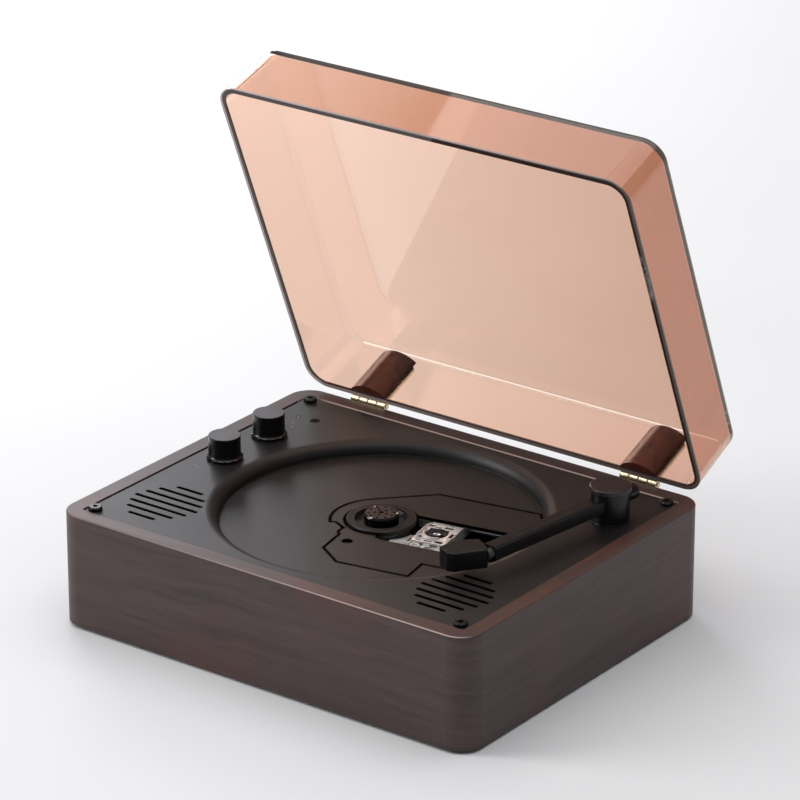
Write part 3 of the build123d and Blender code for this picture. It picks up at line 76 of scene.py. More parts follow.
# ------------------------------------------------------------------ shader helpers
class Finish:
    """A material with one Principled shader, and short ways to add what feeds it."""

    def __init__(self, name, roughness, metallic=0.0, **sockets):
        self.material = bpy.data.materials.new(name)
        self.material.use_nodes = True
        self.tree = self.material.node_tree
        self.shader = self.tree.nodes["Principled BSDF"]
        self.shader.inputs["Roughness"].default_value = roughness
        self.shader.inputs["Metallic"].default_value = metallic
        for socket, value in sockets.items():
            self.shader.inputs[socket.replace("_", " ")].default_value = value
        self.place = self.tree.nodes.new("ShaderNodeTexCoord").outputs["Object"]

    def join(self, source, target):
        self.tree.links.new(source, target)

    def feed(self, source, socket):
        """Drive one of the shader's sockets, by name."""
        self.join(source, self.shader.inputs[socket])

    def fill(self, sockets, values):
        """Give each socket its value, or link it where the value is an output."""
        for socket, value in zip(sockets, values):
            if isinstance(value, bpy.types.NodeSocket):
                self.join(value, socket)
            elif isinstance(value, tuple):
                socket.default_value = (*value, 1.0)
            else:
                socket.default_value = value

    def math(self, operation, *values, clamp=False):
        node = self.tree.nodes.new("ShaderNodeMath")
        node.operation = operation
        node.use_clamp = clamp
        self.fill(node.inputs, values)
        return node.outputs[0]

    def add(self, first, second):
        return self.math("ADD", first, second)

    def subtract(self, first, second):
        return self.math("SUBTRACT", first, second)

    def times(self, first, second):
        return self.math("MULTIPLY", first, second)

    def larger(self, first, second):
        return self.math("MAXIMUM", first, second)

    def above(self, value, limit):
        return self.math("GREATER_THAN", value, limit)

    def below(self, value, limit):
        return self.math("LESS_THAN", value, limit)

    def size_of(self, value):
        return self.math("ABSOLUTE", value)

    def length(self, first, second):
        squares = self.add(self.math("POWER", first, 2.0), self.math("POWER", second, 2.0))
        return self.math("SQRT", squares)

    def rise(self, value, start, end):
        """0 at the start, 1 at the end, and even between."""
        return self.math("DIVIDE", self.subtract(value, start), end - start, clamp=True)

    def between(self, value, low, high):
        """1 where a value lies between two limits, else 0."""
        return self.times(self.above(value, low), self.below(value, high))

    def all_of(self, *masks):
        found = masks[0]
        for mask in masks[1:]:
            found = self.times(found, mask)
        return found

    def past_outline(self, in_x, in_y, corner):
        """How far a place lies past an outline with round corners; negative inside it."""
        past_x = self.larger(self.add(in_x, corner), 0.0)
        past_y = self.larger(self.add(in_y, corner), 0.0)
        return self.subtract(self.length(past_x, past_y), corner)

    def split(self, vector):
        node = self.tree.nodes.new("ShaderNodeSeparateXYZ")
        self.join(vector, node.inputs[0])
        return node.outputs

    def combine(self, *values):
        node = self.tree.nodes.new("ShaderNodeCombineXYZ")
        self.fill(node.inputs, values)
        return node.outputs[0]

    def along(self, direction, start):
        """Distance of a place from the start, measured in a direction."""
        node = self.tree.nodes.new("ShaderNodeVectorMath")
        node.operation = "DOT_PRODUCT"
        self.join(self.place, node.inputs[0])
        node.inputs[1].default_value = direction
        return self.subtract(node.outputs["Value"], start.dot(direction))

    def noise(self, scale, detail, roughness=0.55, vector=None, distortion=0.0):
        node = self.tree.nodes.new("ShaderNodeTexNoise")
        node.inputs["Scale"].default_value = scale
        node.inputs["Detail"].default_value = detail
        node.inputs["Roughness"].default_value = roughness
        node.inputs["Distortion"].default_value = distortion
        self.join(vector or self.place, node.inputs["Vector"])
        return node.outputs["Fac"]

    def drawn_out(self, first, per_first, second, per_second, layer, detail, roughness, distortion=0.0):
        """Noise that is stretched differently along two measures; each layer has its own pattern."""
        vector = self.combine(self.times(first, per_first), self.times(second, per_second), layer)
        return self.noise(1.0, detail, roughness, vector, distortion)

    def ramp(self, factor, *stops):
        """Colours at positions along a factor: (position, (r, g, b))."""
        node = self.tree.nodes.new("ShaderNodeValToRGB")
        elements = node.color_ramp.elements
        while len(elements) < len(stops):
            elements.new(0.5)
        for element, (position, colour) in zip(elements, stops):
            element.position = position
            element.color = (*colour, 1.0)
        self.join(factor, node.inputs["Fac"])
        return node.outputs["Color"]

    def toned(self, factor, colour, spread, start=0.35, end=0.65):
        """A colour that grows lighter along a factor, by this share either way."""
        dark = tuple(c * (1 - spread) for c in colour)
        light = tuple(min(1.0, c * (1 + spread)) for c in colour)
        return self.ramp(factor, (start, dark), (end, light))

    def half_and_half(self, first, second):
        return self.add(self.times(first, 0.5), self.times(second, 0.5))

    def blend(self, factor, first, second, how="MIX"):
        node = self.tree.nodes.new("ShaderNodeMix")
        node.data_type = "RGBA"
        node.blend_type = how
        # a colour mix has its factor at 0 and its colours at 6 and 7, and its result at 2
        self.fill((node.inputs[0], node.inputs[6], node.inputs[7]), (factor, first, second))
        return node.outputs[2]

    def colour(self, source):
        self.feed(source, "Base Color")

    def roughness(self, factor, low, high):
        node = self.tree.nodes.new("ShaderNodeMapRange")
        node.inputs["To Min"].default_value = low
        node.inputs["To Max"].default_value = high
        self.join(factor, node.inputs["Value"])
        self.feed(node.outputs["Result"], "Roughness")

    def bump(self, height, strength, distance):
        node = self.tree.nodes.new("ShaderNodeBump")
        node.inputs["Strength"].default_value = strength
        node.inputs["Distance"].default_value = distance
        self.join(height, node.inputs["Height"])
        self.feed(node.outputs["Normal"], "Normal")

    def near_edge(self, reach, strength):
        """Rises towards 1 within this distance of a sharp edge."""
        rounded = self.tree.nodes.new("ShaderNodeBevel")
        rounded.samples = 6
        rounded.inputs["Radius"].default_value = reach
        surface = self.tree.nodes.new("ShaderNodeNewGeometry").outputs["Normal"]
        node = self.tree.nodes.new("ShaderNodeVectorMath")
        node.operation = "DOT_PRODUCT"
        self.join(rounded.outputs["Normal"], node.inputs[0])
        self.join(surface, node.inputs[1])
        turned = self.subtract(1.0, node.outputs["Value"])
        return self.math("MULTIPLY", turned, strength, clamp=True)


def flecked(name, colour, spread, grain, roughness, rough_spread, bump,
            depth=0.05 * MM, metallic=0.0, edges=None, **sockets):
    """A nearly even finish: fine grain in its colour, its gloss and its surface."""
    finish = Finish(name, roughness, metallic, **sockets)
    grains = finish.noise(grain, 3.0)
    cloud = finish.noise(30.0, 2.0)
    tone = finish.toned(finish.half_and_half(grains, cloud), colour, spread)
    # painted highlight or painted shade along sharp edges, when asked for
    if edges:
        amount = finish.times(finish.near_edge(edges.reach, edges.strength), edges.share)
        tone = finish.blend(amount, tone, edges.colour)
    finish.colour(tone)
    finish.roughness(cloud, roughness - rough_spread, roughness + rough_spread)
    finish.bump(grains, bump, depth)
    return finish.material


# ------------------------------------------------------------------ wood
def walnut_veneer():
    """Dark stained veneer, its grain running round the box and turning at the rim's corners."""
    half_width, half_depth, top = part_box("cabinet_frame")[1]
    corner, rim_width, edge = 10.7 * MM, 7.8 * MM, 0.6 * MM
    dark_brown, brown, light_brown = (0.046, 0.0265, 0.0245), (0.066, 0.0385, 0.035), (0.088, 0.052, 0.046)
    warm_brown, red_brown, pale_highlight = (0.115, 0.040, 0.027), (0.135, 0.040, 0.022), (0.80, 0.58, 0.52)

    finish = Finish("dark walnut veneer", 0.42, Specular_IOR_Level=0.45)
    x, y, z = finish.split(finish.place)
    from_front = finish.add(y, half_depth)
    round_box = finish.add(x, finish.times(finish.math("SIGN", x), from_front))

    # how far inside the outline: along the mitres on the rim, round the corners on the walls
    in_x = finish.subtract(finish.size_of(x), half_width)
    in_y = finish.subtract(finish.size_of(y), half_depth)
    mitred = finish.larger(in_x, in_y)
    rounded = finish.past_outline(in_x, in_y, corner)
    on_rim = finish.rise(z, top - edge, top)
    kept = finish.times(finish.subtract(mitred, rounded), on_rim)
    across = finish.subtract(z, finish.add(rounded, kept))

    wander = finish.noise(11.0, 2.0, vector=finish.combine(round_box, across, 0.0))
    wavy = finish.add(across, finish.times(wander, 16.0 * MM))
    figure = finish.drawn_out(
        round_box, 12.0, wavy, 210.0, layer=0.0, detail=4.0, roughness=0.6, distortion=0.3)
    fibres = finish.drawn_out(round_box, 70.0, wavy, 1700.0, layer=0.0, detail=6.0, roughness=0.75)
    pores = finish.drawn_out(round_box, 210.0, across, 2800.0, layer=3.0, detail=2.0, roughness=0.5)
    red_streaks = finish.drawn_out(round_box, 22.0, across, 330.0, layer=7.0, detail=3.0, roughness=0.5)
    warm_patches = finish.noise(14.0, 3.0, vector=finish.combine(round_box, wavy, 2.0))

    wood = finish.ramp(figure, (0.30, dark_brown), (0.50, brown), (0.72, light_brown))
    warmth = finish.ramp(warm_patches, (0.50, NOTHING), (0.68, (0.55, 0.55, 0.55)))
    wood = finish.blend(warmth, wood, warm_brown)
    bright_side = finish.times(finish.above(x, 50.0 * MM), on_rim)
    reds = finish.ramp(red_streaks, (0.46, NOTHING), (0.66, (0.75, 0.75, 0.75)))
    wood = finish.blend(finish.times(bright_side, reds), wood, red_brown)
    streaks = finish.ramp(fibres, (0.30, (0.62, 0.58, 0.58)), (0.58, WHITE))
    wood = finish.blend(0.8, wood, streaks, "MULTIPLY")
    pore_dark = finish.ramp(pores, (0.27, (0.38, 0.34, 0.34)), (0.36, WHITE))
    wood = finish.blend(0.6, wood, pore_dark, "MULTIPLY")

    # painted highlight: a pale line along the back rim's inner wall, just above the deck
    back_edge_highlight = finish.all_of(
        finish.between(z, top - 0.7 * MM, top - 0.02 * MM),
        finish.below(mitred, 0.1 * MM - rim_width),
        finish.above(y, 70.0 * MM))
    # painted highlight: a pale line along the front's top edge, stronger towards the right
    on_front = finish.rise(y, 6.0 * MM - half_depth, 1.0 * MM - half_depth)
    uneven = finish.noise(40.0, 3.0, vector=finish.combine(round_box, 0.0, 0.0))
    highlight_along = finish.rise(finish.add(x, finish.times(uneven, 80.0 * MM)), -100.0 * MM, 120.0 * MM)
    front_edge_highlight = finish.all_of(
        finish.between(z, top - 0.42 * MM, top - 0.03 * MM),
        finish.above(rounded, -0.45 * MM), on_front, highlight_along)
    # both pale lines are painted highlights, the front one at a little over half strength
    painted_highlights = finish.larger(back_edge_highlight, finish.times(front_edge_highlight, 0.55))
    finish.colour(finish.blend(painted_highlights, wood, pale_highlight))
    finish.roughness(fibres, 0.36, 0.52)
    finish.bump(pores, 0.2, 0.06 * MM)
    return finish.material


# ------------------------------------------------------------------ lid
def tinted_acrylic():
    """Clear salmon-brown acrylic, tinted deeper to the right as painted shade: painted dark at its cut rim, with a
    glowing painted highlight line in the back corner.

    Height runs from the rim to the lid's top, depth from its hinge to its front.
    """
    hinge = Vector(joints["lid_hinge"]["pos_m"])
    open_angle = math.radians(-joints["lid_hinge"]["range_deg"][0])
    out_of_rim = Vector((0.0, math.sin(open_angle), math.cos(open_angle)))
    forward = Vector((0.0, -math.cos(open_angle), math.sin(open_angle)))
    width, length, tall = 210.7 * MM, 170.4 * MM, 31.1 * MM
    wall, draft, corner = 2.6 * MM, 1.3 * MM, 10.5 * MM
    outer_back = 2.7 * MM
    inner_top, inner_back = tall - wall, outer_back + wall
    corner_glint_reach, corner_glint_half_length = 0.42 * MM, 94.0 * MM
    corner_glint_glow, sheet_glow = 0.30, 0.016
    lit_left_tint, shaded_right_tint = (0.864, 0.598, 0.466), (0.722, 0.452, 0.340)
    lit_front_tint, corner_glint_tint, glow_tint = (0.968, 0.830, 0.765), (1.0, 0.96, 0.92), (1.0, 0.90, 0.82)
    rim_shade, left_rim, right_rim = (0.036, 0.021, 0.017), (0.50, 0.40, 0.38), (0.13, 0.10, 0.09)

    finish = Finish("tinted acrylic", 0.02, Transmission_Weight=1.0, IOR=1.49)
    x = finish.split(finish.place)[0]
    height = finish.along(out_of_rim, hinge)
    depth = finish.along(forward, hinge)
    lean = finish.times(height, draft / tall)
    half_lean = finish.times(lean, 0.5)
    from_middle = finish.add(finish.subtract(depth, outer_back + length / 2), half_lean)
    in_x = finish.subtract(finish.size_of(x), finish.subtract(width / 2, lean))
    in_y = finish.subtract(finish.size_of(from_middle), finish.subtract(length / 2, half_lean))
    past = finish.past_outline(in_x, in_y, corner)

    # painted shade: the tint deepens to the right, and painted light makes the front wall paler towards the left
    past_rim = finish.rise(height, 0.5 * MM, 1.0 * MM)
    towards_right = finish.rise(x, -60.0 * MM, 100.0 * MM)
    cloud = finish.noise(14.0, 1.0)
    spread = finish.add(finish.times(towards_right, 0.8), finish.times(cloud, 0.2))
    clear = finish.ramp(spread, (0.1, lit_left_tint), (0.9, shaded_right_tint))
    in_front = finish.above(from_middle, length / 2 - wall - 1.8 * MM)
    towards_left = finish.rise(x, 0.0, -90.0 * MM)
    paler = finish.times(finish.times(in_front, towards_left), 0.85)
    clear = finish.blend(paler, clear, lit_front_tint)

    # the cut rim is painted: dark painted shade on its inner half, a painted highlight on its outer half, paler at
    # the left
    outer_half = finish.above(past, -1.25 * MM)
    rim_light = finish.blend(towards_right, left_rim, right_rim)
    rim = finish.blend(outer_half, rim_shade, rim_light)
    tinted = finish.blend(past_rim, rim, clear)

    # painted highlight: a pale glowing line along the inner corner of the back wall and the top
    off_top = finish.size_of(finish.subtract(height, inner_top))
    off_back = finish.size_of(finish.subtract(depth, inner_back))
    corner_glint = finish.below(finish.larger(off_top, off_back), corner_glint_reach)
    corner_glint = finish.times(corner_glint, finish.below(finish.size_of(x), corner_glint_half_length))
    finish.colour(finish.blend(corner_glint, tinted, corner_glint_tint))
    finish.feed(past_rim, "Transmission Weight")

    # painted glow: the whole top sheet glows faintly, standing in for light carried inside it that comes out at
    # its round outer edge; the corner line glows more
    in_sheet = finish.above(height, inner_top - 0.1 * MM)
    painted_glow = finish.add(finish.times(corner_glint, corner_glint_glow), finish.times(in_sheet, sheet_glow))
    finish.shader.inputs["Emission Color"].default_value = (*glow_tint, 1.0)
    finish.feed(painted_glow, "Emission Strength")
    return finish.material


def brushed_brass():
    finish = Finish("polished brass", 0.22, 1.0)
    x, y, z = finish.split(finish.place)
    along, across = 60.0, 1800.0
    brushing = finish.combine(finish.times(x, along), finish.times(y, across), finish.times(z, across))
    drawn = finish.noise(1.0, 3.0, vector=brushing)
    dull_brass, bright_brass, near_edge_dark = (0.52, 0.42, 0.24), (0.88, 0.78, 0.56), (0.05, 0.035, 0.02)
    polished = finish.ramp(drawn, (0.3, dull_brass), (0.7, bright_brass))
    # the brass is darker within 0.35 mm of sharp edges
    finish.colour(finish.blend(finish.near_edge(0.35 * MM, 12.0), polished, near_edge_dark))
    finish.roughness(drawn, 0.14, 0.32)
    finish.bump(drawn, 0.1, 0.02 * MM)
    return finish.material


# ------------------------------------------------------------------ mouldings
def moulded_top(name, colour, roughness, top, top_colour, top_roughness, painted_shade_edges=0.0, flecks=1500.0):
    """A glossy black piece whose flat top, above this height, is matte and has its own colour.

    The edges of a top with holes may be painted near black as painted shade, within this distance.
    """
    hole_shine, dark_shine = 0.45, 0.05
    finish = Finish(name, roughness, Specular_IOR_Level=0.5)
    z = finish.split(finish.place)[2]
    on_top = finish.above(z, top)
    grains = finish.noise(flecks, 3.0)
    mixed = finish.half_and_half(grains, finish.noise(60.0, 2.0))
    side = finish.toned(mixed, colour, spread=0.15)
    flat = finish.toned(mixed, top_colour, spread=0.25, start=0.42, end=0.60)
    tone = finish.blend(on_top, side, flat)
    # painted shade: near-black edges make the holes look deep, and shine less
    if painted_shade_edges:
        dark = finish.near_edge(painted_shade_edges, 40.0)
        tone = finish.blend(dark, tone, SHADE_BLACK)
        left_shine = finish.subtract(hole_shine, finish.times(dark, hole_shine - dark_shine))
        finish.feed(left_shine, "Specular IOR Level")
    finish.colour(tone)
    finish.roughness(on_top, roughness, top_roughness)
    finish.bump(grains, 0.08, 0.03 * MM)
    return finish.material


# small grey dashes printed by the knobs, in mm: place in x and y, width in x, length in y
PRINTED_DASHES = (
    (-91.6, -11.9, 2.2, 0.5), (-89.2, -13.6, 0.6, 2.0), (-86.4, -6.6, 1.6, 0.5), (-84.2, -10.4, 0.7, 0.7),
    (-83.6, 46.1, 0.9, 0.9), (-88.6, 47.6, 2.0, 0.5), (-86.2, 50.0, 0.6, 1.6), (-90.8, 50.6, 1.4, 0.5),
)


def deck_moulding():
    """Matte black moulding: slots, gaps and edges are painted dark as painted shade, small grey dashes are printed
    by the knobs.
    """
    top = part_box("deck")[1].z
    floor_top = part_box("mechanism_cover")[1].z
    floor_radius, slots_from = 66.0 * MM, 76.5 * MM
    shoulder_from, shoulder_to = 66.5 * MM, 78.5 * MM
    inside_x, inside_y = 92.0 * MM, 71.0 * MM
    shine, dull_from = 0.5, 0.42
    moulding, print_grey = (0.0075, 0.0062, 0.0066), (0.16, 0.15, 0.16)

    finish = Finish("matte black deck", 0.50, Specular_IOR_Level=shine)
    x, y, z = finish.split(finish.place)
    grains = finish.noise(2600.0, 3.0)
    cloud = finish.noise(30.0, 2.0)
    moulded = finish.toned(finish.half_and_half(grains, cloud), moulding, spread=0.1)

    # painted shade: dark edges, except at the deck's own outline, and darker ones on the well's floor
    off_outline = finish.times(finish.below(finish.size_of(x), inside_x),
                               finish.below(finish.size_of(y), inside_y))
    from_spindle = finish.length(x, y)
    on_floor = finish.below(from_spindle, floor_radius)
    edges = finish.larger(finish.times(finish.near_edge(0.55 * MM, 60.0), off_outline),
                          finish.times(finish.near_edge(1.1 * MM, 150.0), on_floor))
    # painted shade inside the grille slots and in the gap below the cover's top
    in_slot = finish.times(finish.above(from_spindle, slots_from), finish.below(z, top - 0.3 * MM))
    in_gap = finish.below(z, floor_top - 0.12 * MM)
    dark = finish.larger(finish.larger(edges, in_slot), in_gap)
    shaded = finish.blend(dark, moulded, SHADE_BLACK)

    printed = None
    for place_x, place_y, width, length in PRINTED_DASHES:
        dash = finish.all_of(
            finish.between(x, (place_x - width / 2) * MM, (place_x + width / 2) * MM),
            finish.between(y, (place_y - length / 2) * MM, (place_y + length / 2) * MM))
        printed = dash if printed is None else finish.larger(printed, dash)
    printed = finish.times(printed, finish.above(z, top - 0.05 * MM))
    finish.colour(finish.blend(finish.times(printed, 0.7), shaded, print_grey))

    # the well's shoulder is a little duller at the back on the right
    on_shoulder = finish.all_of(
        finish.between(from_spindle, shoulder_from, shoulder_to),
        finish.rise(z, top, top - 0.5 * MM),
        finish.rise(x, 20.0 * MM, 45.0 * MM),
        finish.above(y, 0.0))
    dull = finish.add(finish.times(dark, 0.5), finish.times(on_shoulder, 0.14))
    finish.feed(finish.add(finish.times(cloud, 0.08), finish.add(dull, dull_from)), "Roughness")
    left_shine = finish.subtract(shine, finish.times(dark, shine))
    left_shine = finish.math("SUBTRACT", left_shine, finish.times(on_shoulder, 0.12), clamp=True)
    finish.feed(left_shine, "Specular IOR Level")
    finish.bump(grains, 0.12, 0.03 * MM)
    return finish.material


def cover_moulding():
    """The cover's matte black, painted dark as painted shade round its edges and at the gap round it."""
    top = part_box("mechanism_cover")[1].z
    shine = 0.4
    finish = Finish("matte black cover", 0.46, Specular_IOR_Level=shine)
    z = finish.split(finish.place)[2]
    grains = finish.noise(2600.0, 3.0)
    cloud = finish.noise(30.0, 2.0)
    moulded = finish.toned(finish.half_and_half(grains, cloud), (0.0105, 0.0078, 0.0072), spread=0.1)
    dark = finish.larger(finish.near_edge(1.0 * MM, 150.0), finish.below(z, top - 0.1 * MM))
    finish.colour(finish.blend(dark, moulded, SHADE_BLACK))
    finish.roughness(cloud, 0.42, 0.50)
    finish.feed(finish.subtract(shine, finish.times(dark, shine)), "Specular IOR Level")
    finish.bump(grains, 0.10, 0.03 * MM)
    return finish.material


# ------------------------------------------------------------------ metal and glass
def drawn_steel(name, colour, roughness=0.25):
    return flecked(name, colour, spread=0.12, grain=700.0, roughness=roughness, rough_spread=0.08,
                   bump=0.08, depth=0.02 * MM, metallic=1.0)


def lens_glass():
    finish = Finish("coated lens glass", 0.02, Transmission_Weight=0.85, IOR=1.55,
                    Coat_Weight=1.0, Coat_Roughness=0.02)
    coating = finish.noise(300.0, 1.0)
    finish.colour(finish.ramp(coating, (0.3, (0.55, 0.66, 0.88)), (0.7, (0.70, 0.74, 0.92))))
    return finish.material


finishes = {
    "walnut": walnut_veneer(),
    "base_board": flecked(
        "stained fibreboard", (0.060, 0.045, 0.040), spread=0.3, grain=500.0,
        roughness=0.7, rough_spread=0.05, bump=0.3),
    "deck_black": deck_moulding(),
    "cover_black": cover_moulding(),
    # the knob's lighter grey top is a painted sheen
    "knob_black": moulded_top(
        "glossy black knob", (0.0045, 0.0045, 0.005), 0.17,
        top=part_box("volume_knob")[1].z - 0.1 * MM, top_colour=(0.060, 0.059, 0.063), top_roughness=0.50),
    # edges painted lighter: a painted highlight along the arm's edges
    "arm_black": flecked(
        "satin black arm", (0.0065, 0.0055, 0.0053), spread=0.12, grain=900.0,
        roughness=0.27, rough_spread=0.04, bump=0.04,
        edges=Edges((0.035, 0.030, 0.030), 0.35 * MM, 8.0, 0.8), Specular_IOR_Level=0.33),
    # edges painted lighter: a painted highlight round the cap's rim
    "arm_cap": flecked(
        "satin black cap", (0.016, 0.011, 0.0105), spread=0.10, grain=900.0,
        roughness=0.36, rough_spread=0.04, bump=0.05,
        edges=Edges((0.13, 0.12, 0.12), 0.40 * MM, 8.0, 0.8), Specular_IOR_Level=0.48),
    "arm_sleeve": flecked(
        "grey sleeve", (0.045, 0.045, 0.047), spread=0.06, grain=600.0,
        roughness=0.35, rough_spread=0.05, bump=0.05),
    "lid_acrylic": tinted_acrylic(),
    # edges painted darker: painted shade along the block's edges
    "block_brown": flecked(
        "glossy brown block", (0.088, 0.018, 0.0085), spread=0.70, grain=130.0,
        roughness=0.28, rough_spread=0.05, bump=0.02,
        edges=Edges((0.012, 0.004, 0.003), 0.5 * MM, 6.0, 0.7), Specular_IOR_Level=0.27),
    "hinge_brass": brushed_brass(),
    "black_screw": flecked(
        "black oxide screw", (0.012, 0.012, 0.012), spread=0.2, grain=1500.0,
        roughness=0.28, rough_spread=0.06, bump=0.1, depth=0.02 * MM, metallic=0.6),
    "steel": drawn_steel("bright steel", (0.62, 0.62, 0.63)),
    "motor_can": drawn_steel("motor can", (0.48, 0.47, 0.46), 0.35),
    "chassis_steel": flecked(
        "black chassis", (0.012, 0.012, 0.0125), spread=0.2, grain=800.0,
        roughness=0.45, rough_spread=0.06, bump=0.1),
    # edges painted dark: painted shade in the gaps and along the edges of the cast metal
    "sled_metal": flecked(
        "cast sled metal", (0.76, 0.745, 0.72), spread=0.16, grain=700.0,
        roughness=0.34, rough_spread=0.08, bump=0.15, metallic=0.45,
        edges=Edges((0.05, 0.045, 0.042), 0.30 * MM, 16.0, 0.85)),
    "magnet": drawn_steel("plated magnet", (0.40, 0.40, 0.41), 0.3),
    "gear_white": flecked(
        "white acetal", (0.68, 0.67, 0.63), spread=0.05, grain=500.0,
        roughness=0.38, rough_spread=0.05, bump=0.05),
    "holder_black": flecked(
        "black lens holder", (0.02, 0.02, 0.02), spread=0.15, grain=700.0,
        roughness=0.35, rough_spread=0.05, bump=0.06),
    "lens_glass": lens_glass(),
    "spring_copper": drawn_steel("copper spring", (0.70, 0.40, 0.20)),
    "hub_plastic": moulded_top(
        "glossy black hub", (0.0045, 0.004, 0.004), 0.12,
        top=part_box("disc_hub")[1].z - 0.1 * MM, top_colour=(0.026, 0.0125, 0.0105), top_roughness=0.45,
        painted_shade_edges=0.32 * MM, flecks=420.0),
    "platter_plastic": flecked(
        "satin black platter", (0.008, 0.007, 0.007), spread=0.12, grain=800.0,
        roughness=0.30, rough_spread=0.05, bump=0.05, Specular_IOR_Level=0.4),
    # edges painted darker: painted shade at the mat's edges
    "mat_rubber": flecked(
        "black rubber", (0.007, 0.006, 0.006), spread=0.2, grain=1500.0,
        roughness=0.55, rough_spread=0.05, bump=0.2,
        edges=Edges((0.0012, 0.001, 0.001), 0.5 * MM, 10.0, 0.9), Specular_IOR_Level=0.28),
    "foot_rubber": flecked(
        "foot rubber", (0.014, 0.014, 0.014), spread=0.2, grain=1500.0,
        roughness=0.7, rough_spread=0.05, bump=0.2),
    "cone_paper": flecked(
        "pressed cone paper", (0.018, 0.018, 0.018), spread=0.3, grain=1100.0,
        roughness=0.85, rough_spread=0.05, bump=0.4),
    "ferrite": flecked(
        "sintered ferrite", (0.03, 0.03, 0.032), spread=0.2, grain=1200.0,
        roughness=0.6, rough_spread=0.06, bump=0.3),
    "basket": flecked(
        "black pressed basket", (0.016, 0.016, 0.016), spread=0.1, grain=800.0,
        roughness=0.4, rough_spread=0.05, bump=0.05),
    "board_green": flecked(
        "green solder mask", (0.010, 0.060, 0.022), spread=0.2, grain=700.0,
        roughness=0.3, rough_spread=0.05, bump=0.1),
    "component_black": flecked(
        "moulded components", (0.015, 0.015, 0.017), spread=0.1, grain=900.0,
        roughness=0.45, rough_spread=0.05, bump=0.1),
    "control_metal": drawn_steel("plated control body", (0.45, 0.45, 0.45), 0.35),
    "led_clear": flecked(
        "milky lamp lens", (0.55, 0.58, 0.56), spread=0.05, grain=600.0,
        roughness=0.2, rough_spread=0.03, bump=0.02, Transmission_Weight=0.5),
    # edges painted pale: a painted glint round the window
    "ir_dark": flecked(
        "dark red window", (0.0015, 0.0006, 0.0006), spread=0.1, grain=500.0,
        roughness=0.22, rough_spread=0.02, bump=0.02,
        edges=Edges((0.10, 0.095, 0.09), 0.35 * MM, 10.0, 0.7), Specular_IOR_Level=0.12),
    "port_black": flecked(
        "satin black socket plate", (0.014, 0.014, 0.014), spread=0.1, grain=1400.0,
        roughness=0.45, rough_spread=0.05, bump=0.1),
}


def dress_cad_nodes():
    """Every CAD node takes the finish of its material slot."""
    for entry in frame["record"]["subparts"]:
        piece = nodes[entry["node"]]
        piece.data.materials.clear()
        piece.data.materials.append(finishes[entry["material_slot"]])


# ------------------------------------------------------------------ pickup detail
# Pieces are made round the lens, in mm: along the pickup's travel, across it, and in height over
# the plain cover's top. A cutter that goes right through reaches from below to above.
THROUGH = (-2.0, 2.0)
THROUGH_SHELF = (-4.0, 4.0)


def select_only(piece):
    bpy.ops.object.select_all(action="DESELECT")
    piece.select_set(True)
    bpy.context.view_layer.objects.active = piece


def name_and_apply(name):
    """Name the new primitive, and make its place and size part of its mesh."""
    piece = bpy.context.object
    piece.name = name
    bpy.ops.object.transform_apply(location=True, rotation=True, scale=True)
    return piece


def block_at(name, along, across, levels):
    spans = (along, across, levels)
    bpy.ops.object.select_all(action="DESELECT")
    bpy.ops.mesh.primitive_cube_add(size=1.0, location=[(a + b) / 2 * MM for a, b in spans])
    bpy.context.object.scale = [(b - a) * MM for a, b in spans]
    return name_and_apply(name)


def drum_at(name, radius, place, levels, sides=48):
    bpy.ops.object.select_all(action="DESELECT")
    bpy.ops.mesh.primitive_cylinder_add(
        vertices=sides, radius=radius * MM, depth=(levels[1] - levels[0]) * MM,
        location=(place[0] * MM, place[1] * MM, (levels[0] + levels[1]) / 2 * MM))
    return name_and_apply(name)


def combine_with(piece, tools, how):
    """Cut tools out of a piece, or grow the piece by them; the tools are used up."""
    for tool in tools:
        modifier = piece.modifiers.new(how.lower(), "BOOLEAN")
        modifier.operation = how
        modifier.solver = "EXACT"
        modifier.object = tool
        select_only(piece)
        bpy.ops.object.modifier_apply(modifier=modifier.name)
        bpy.data.objects.remove(tool)


def soften_edges(piece, width):
    modifier = piece.modifiers.new("soft edges", "BEVEL")
    modifier.width = width
    modifier.segments = 2
    modifier.limit_method = "ANGLE"
    modifier.angle_limit = math.radians(40)
    modifier.use_clamp_overlap = True
    select_only(piece)
    bpy.ops.object.modifier_apply(modifier=modifier.name)
    bpy.ops.object.shade_smooth_by_angle(angle=math.radians(35))


def put_on_travel(piece):
    """Turn a piece into the pickup's line of travel and move it to the lens."""
    axis = joints["sled_travel"]["axis"]
    lens_low, lens_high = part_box("objective_lens")
    lens = (lens_low + lens_high) / 2
    piece.rotation_euler = (0.0, 0.0, math.atan2(axis[1], axis[0]))
    piece.location = (lens.x, lens.y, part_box("actuator_cover")[1].z)
    select_only(piece)
    bpy.ops.object.transform_apply(location=True, rotation=True, scale=True)


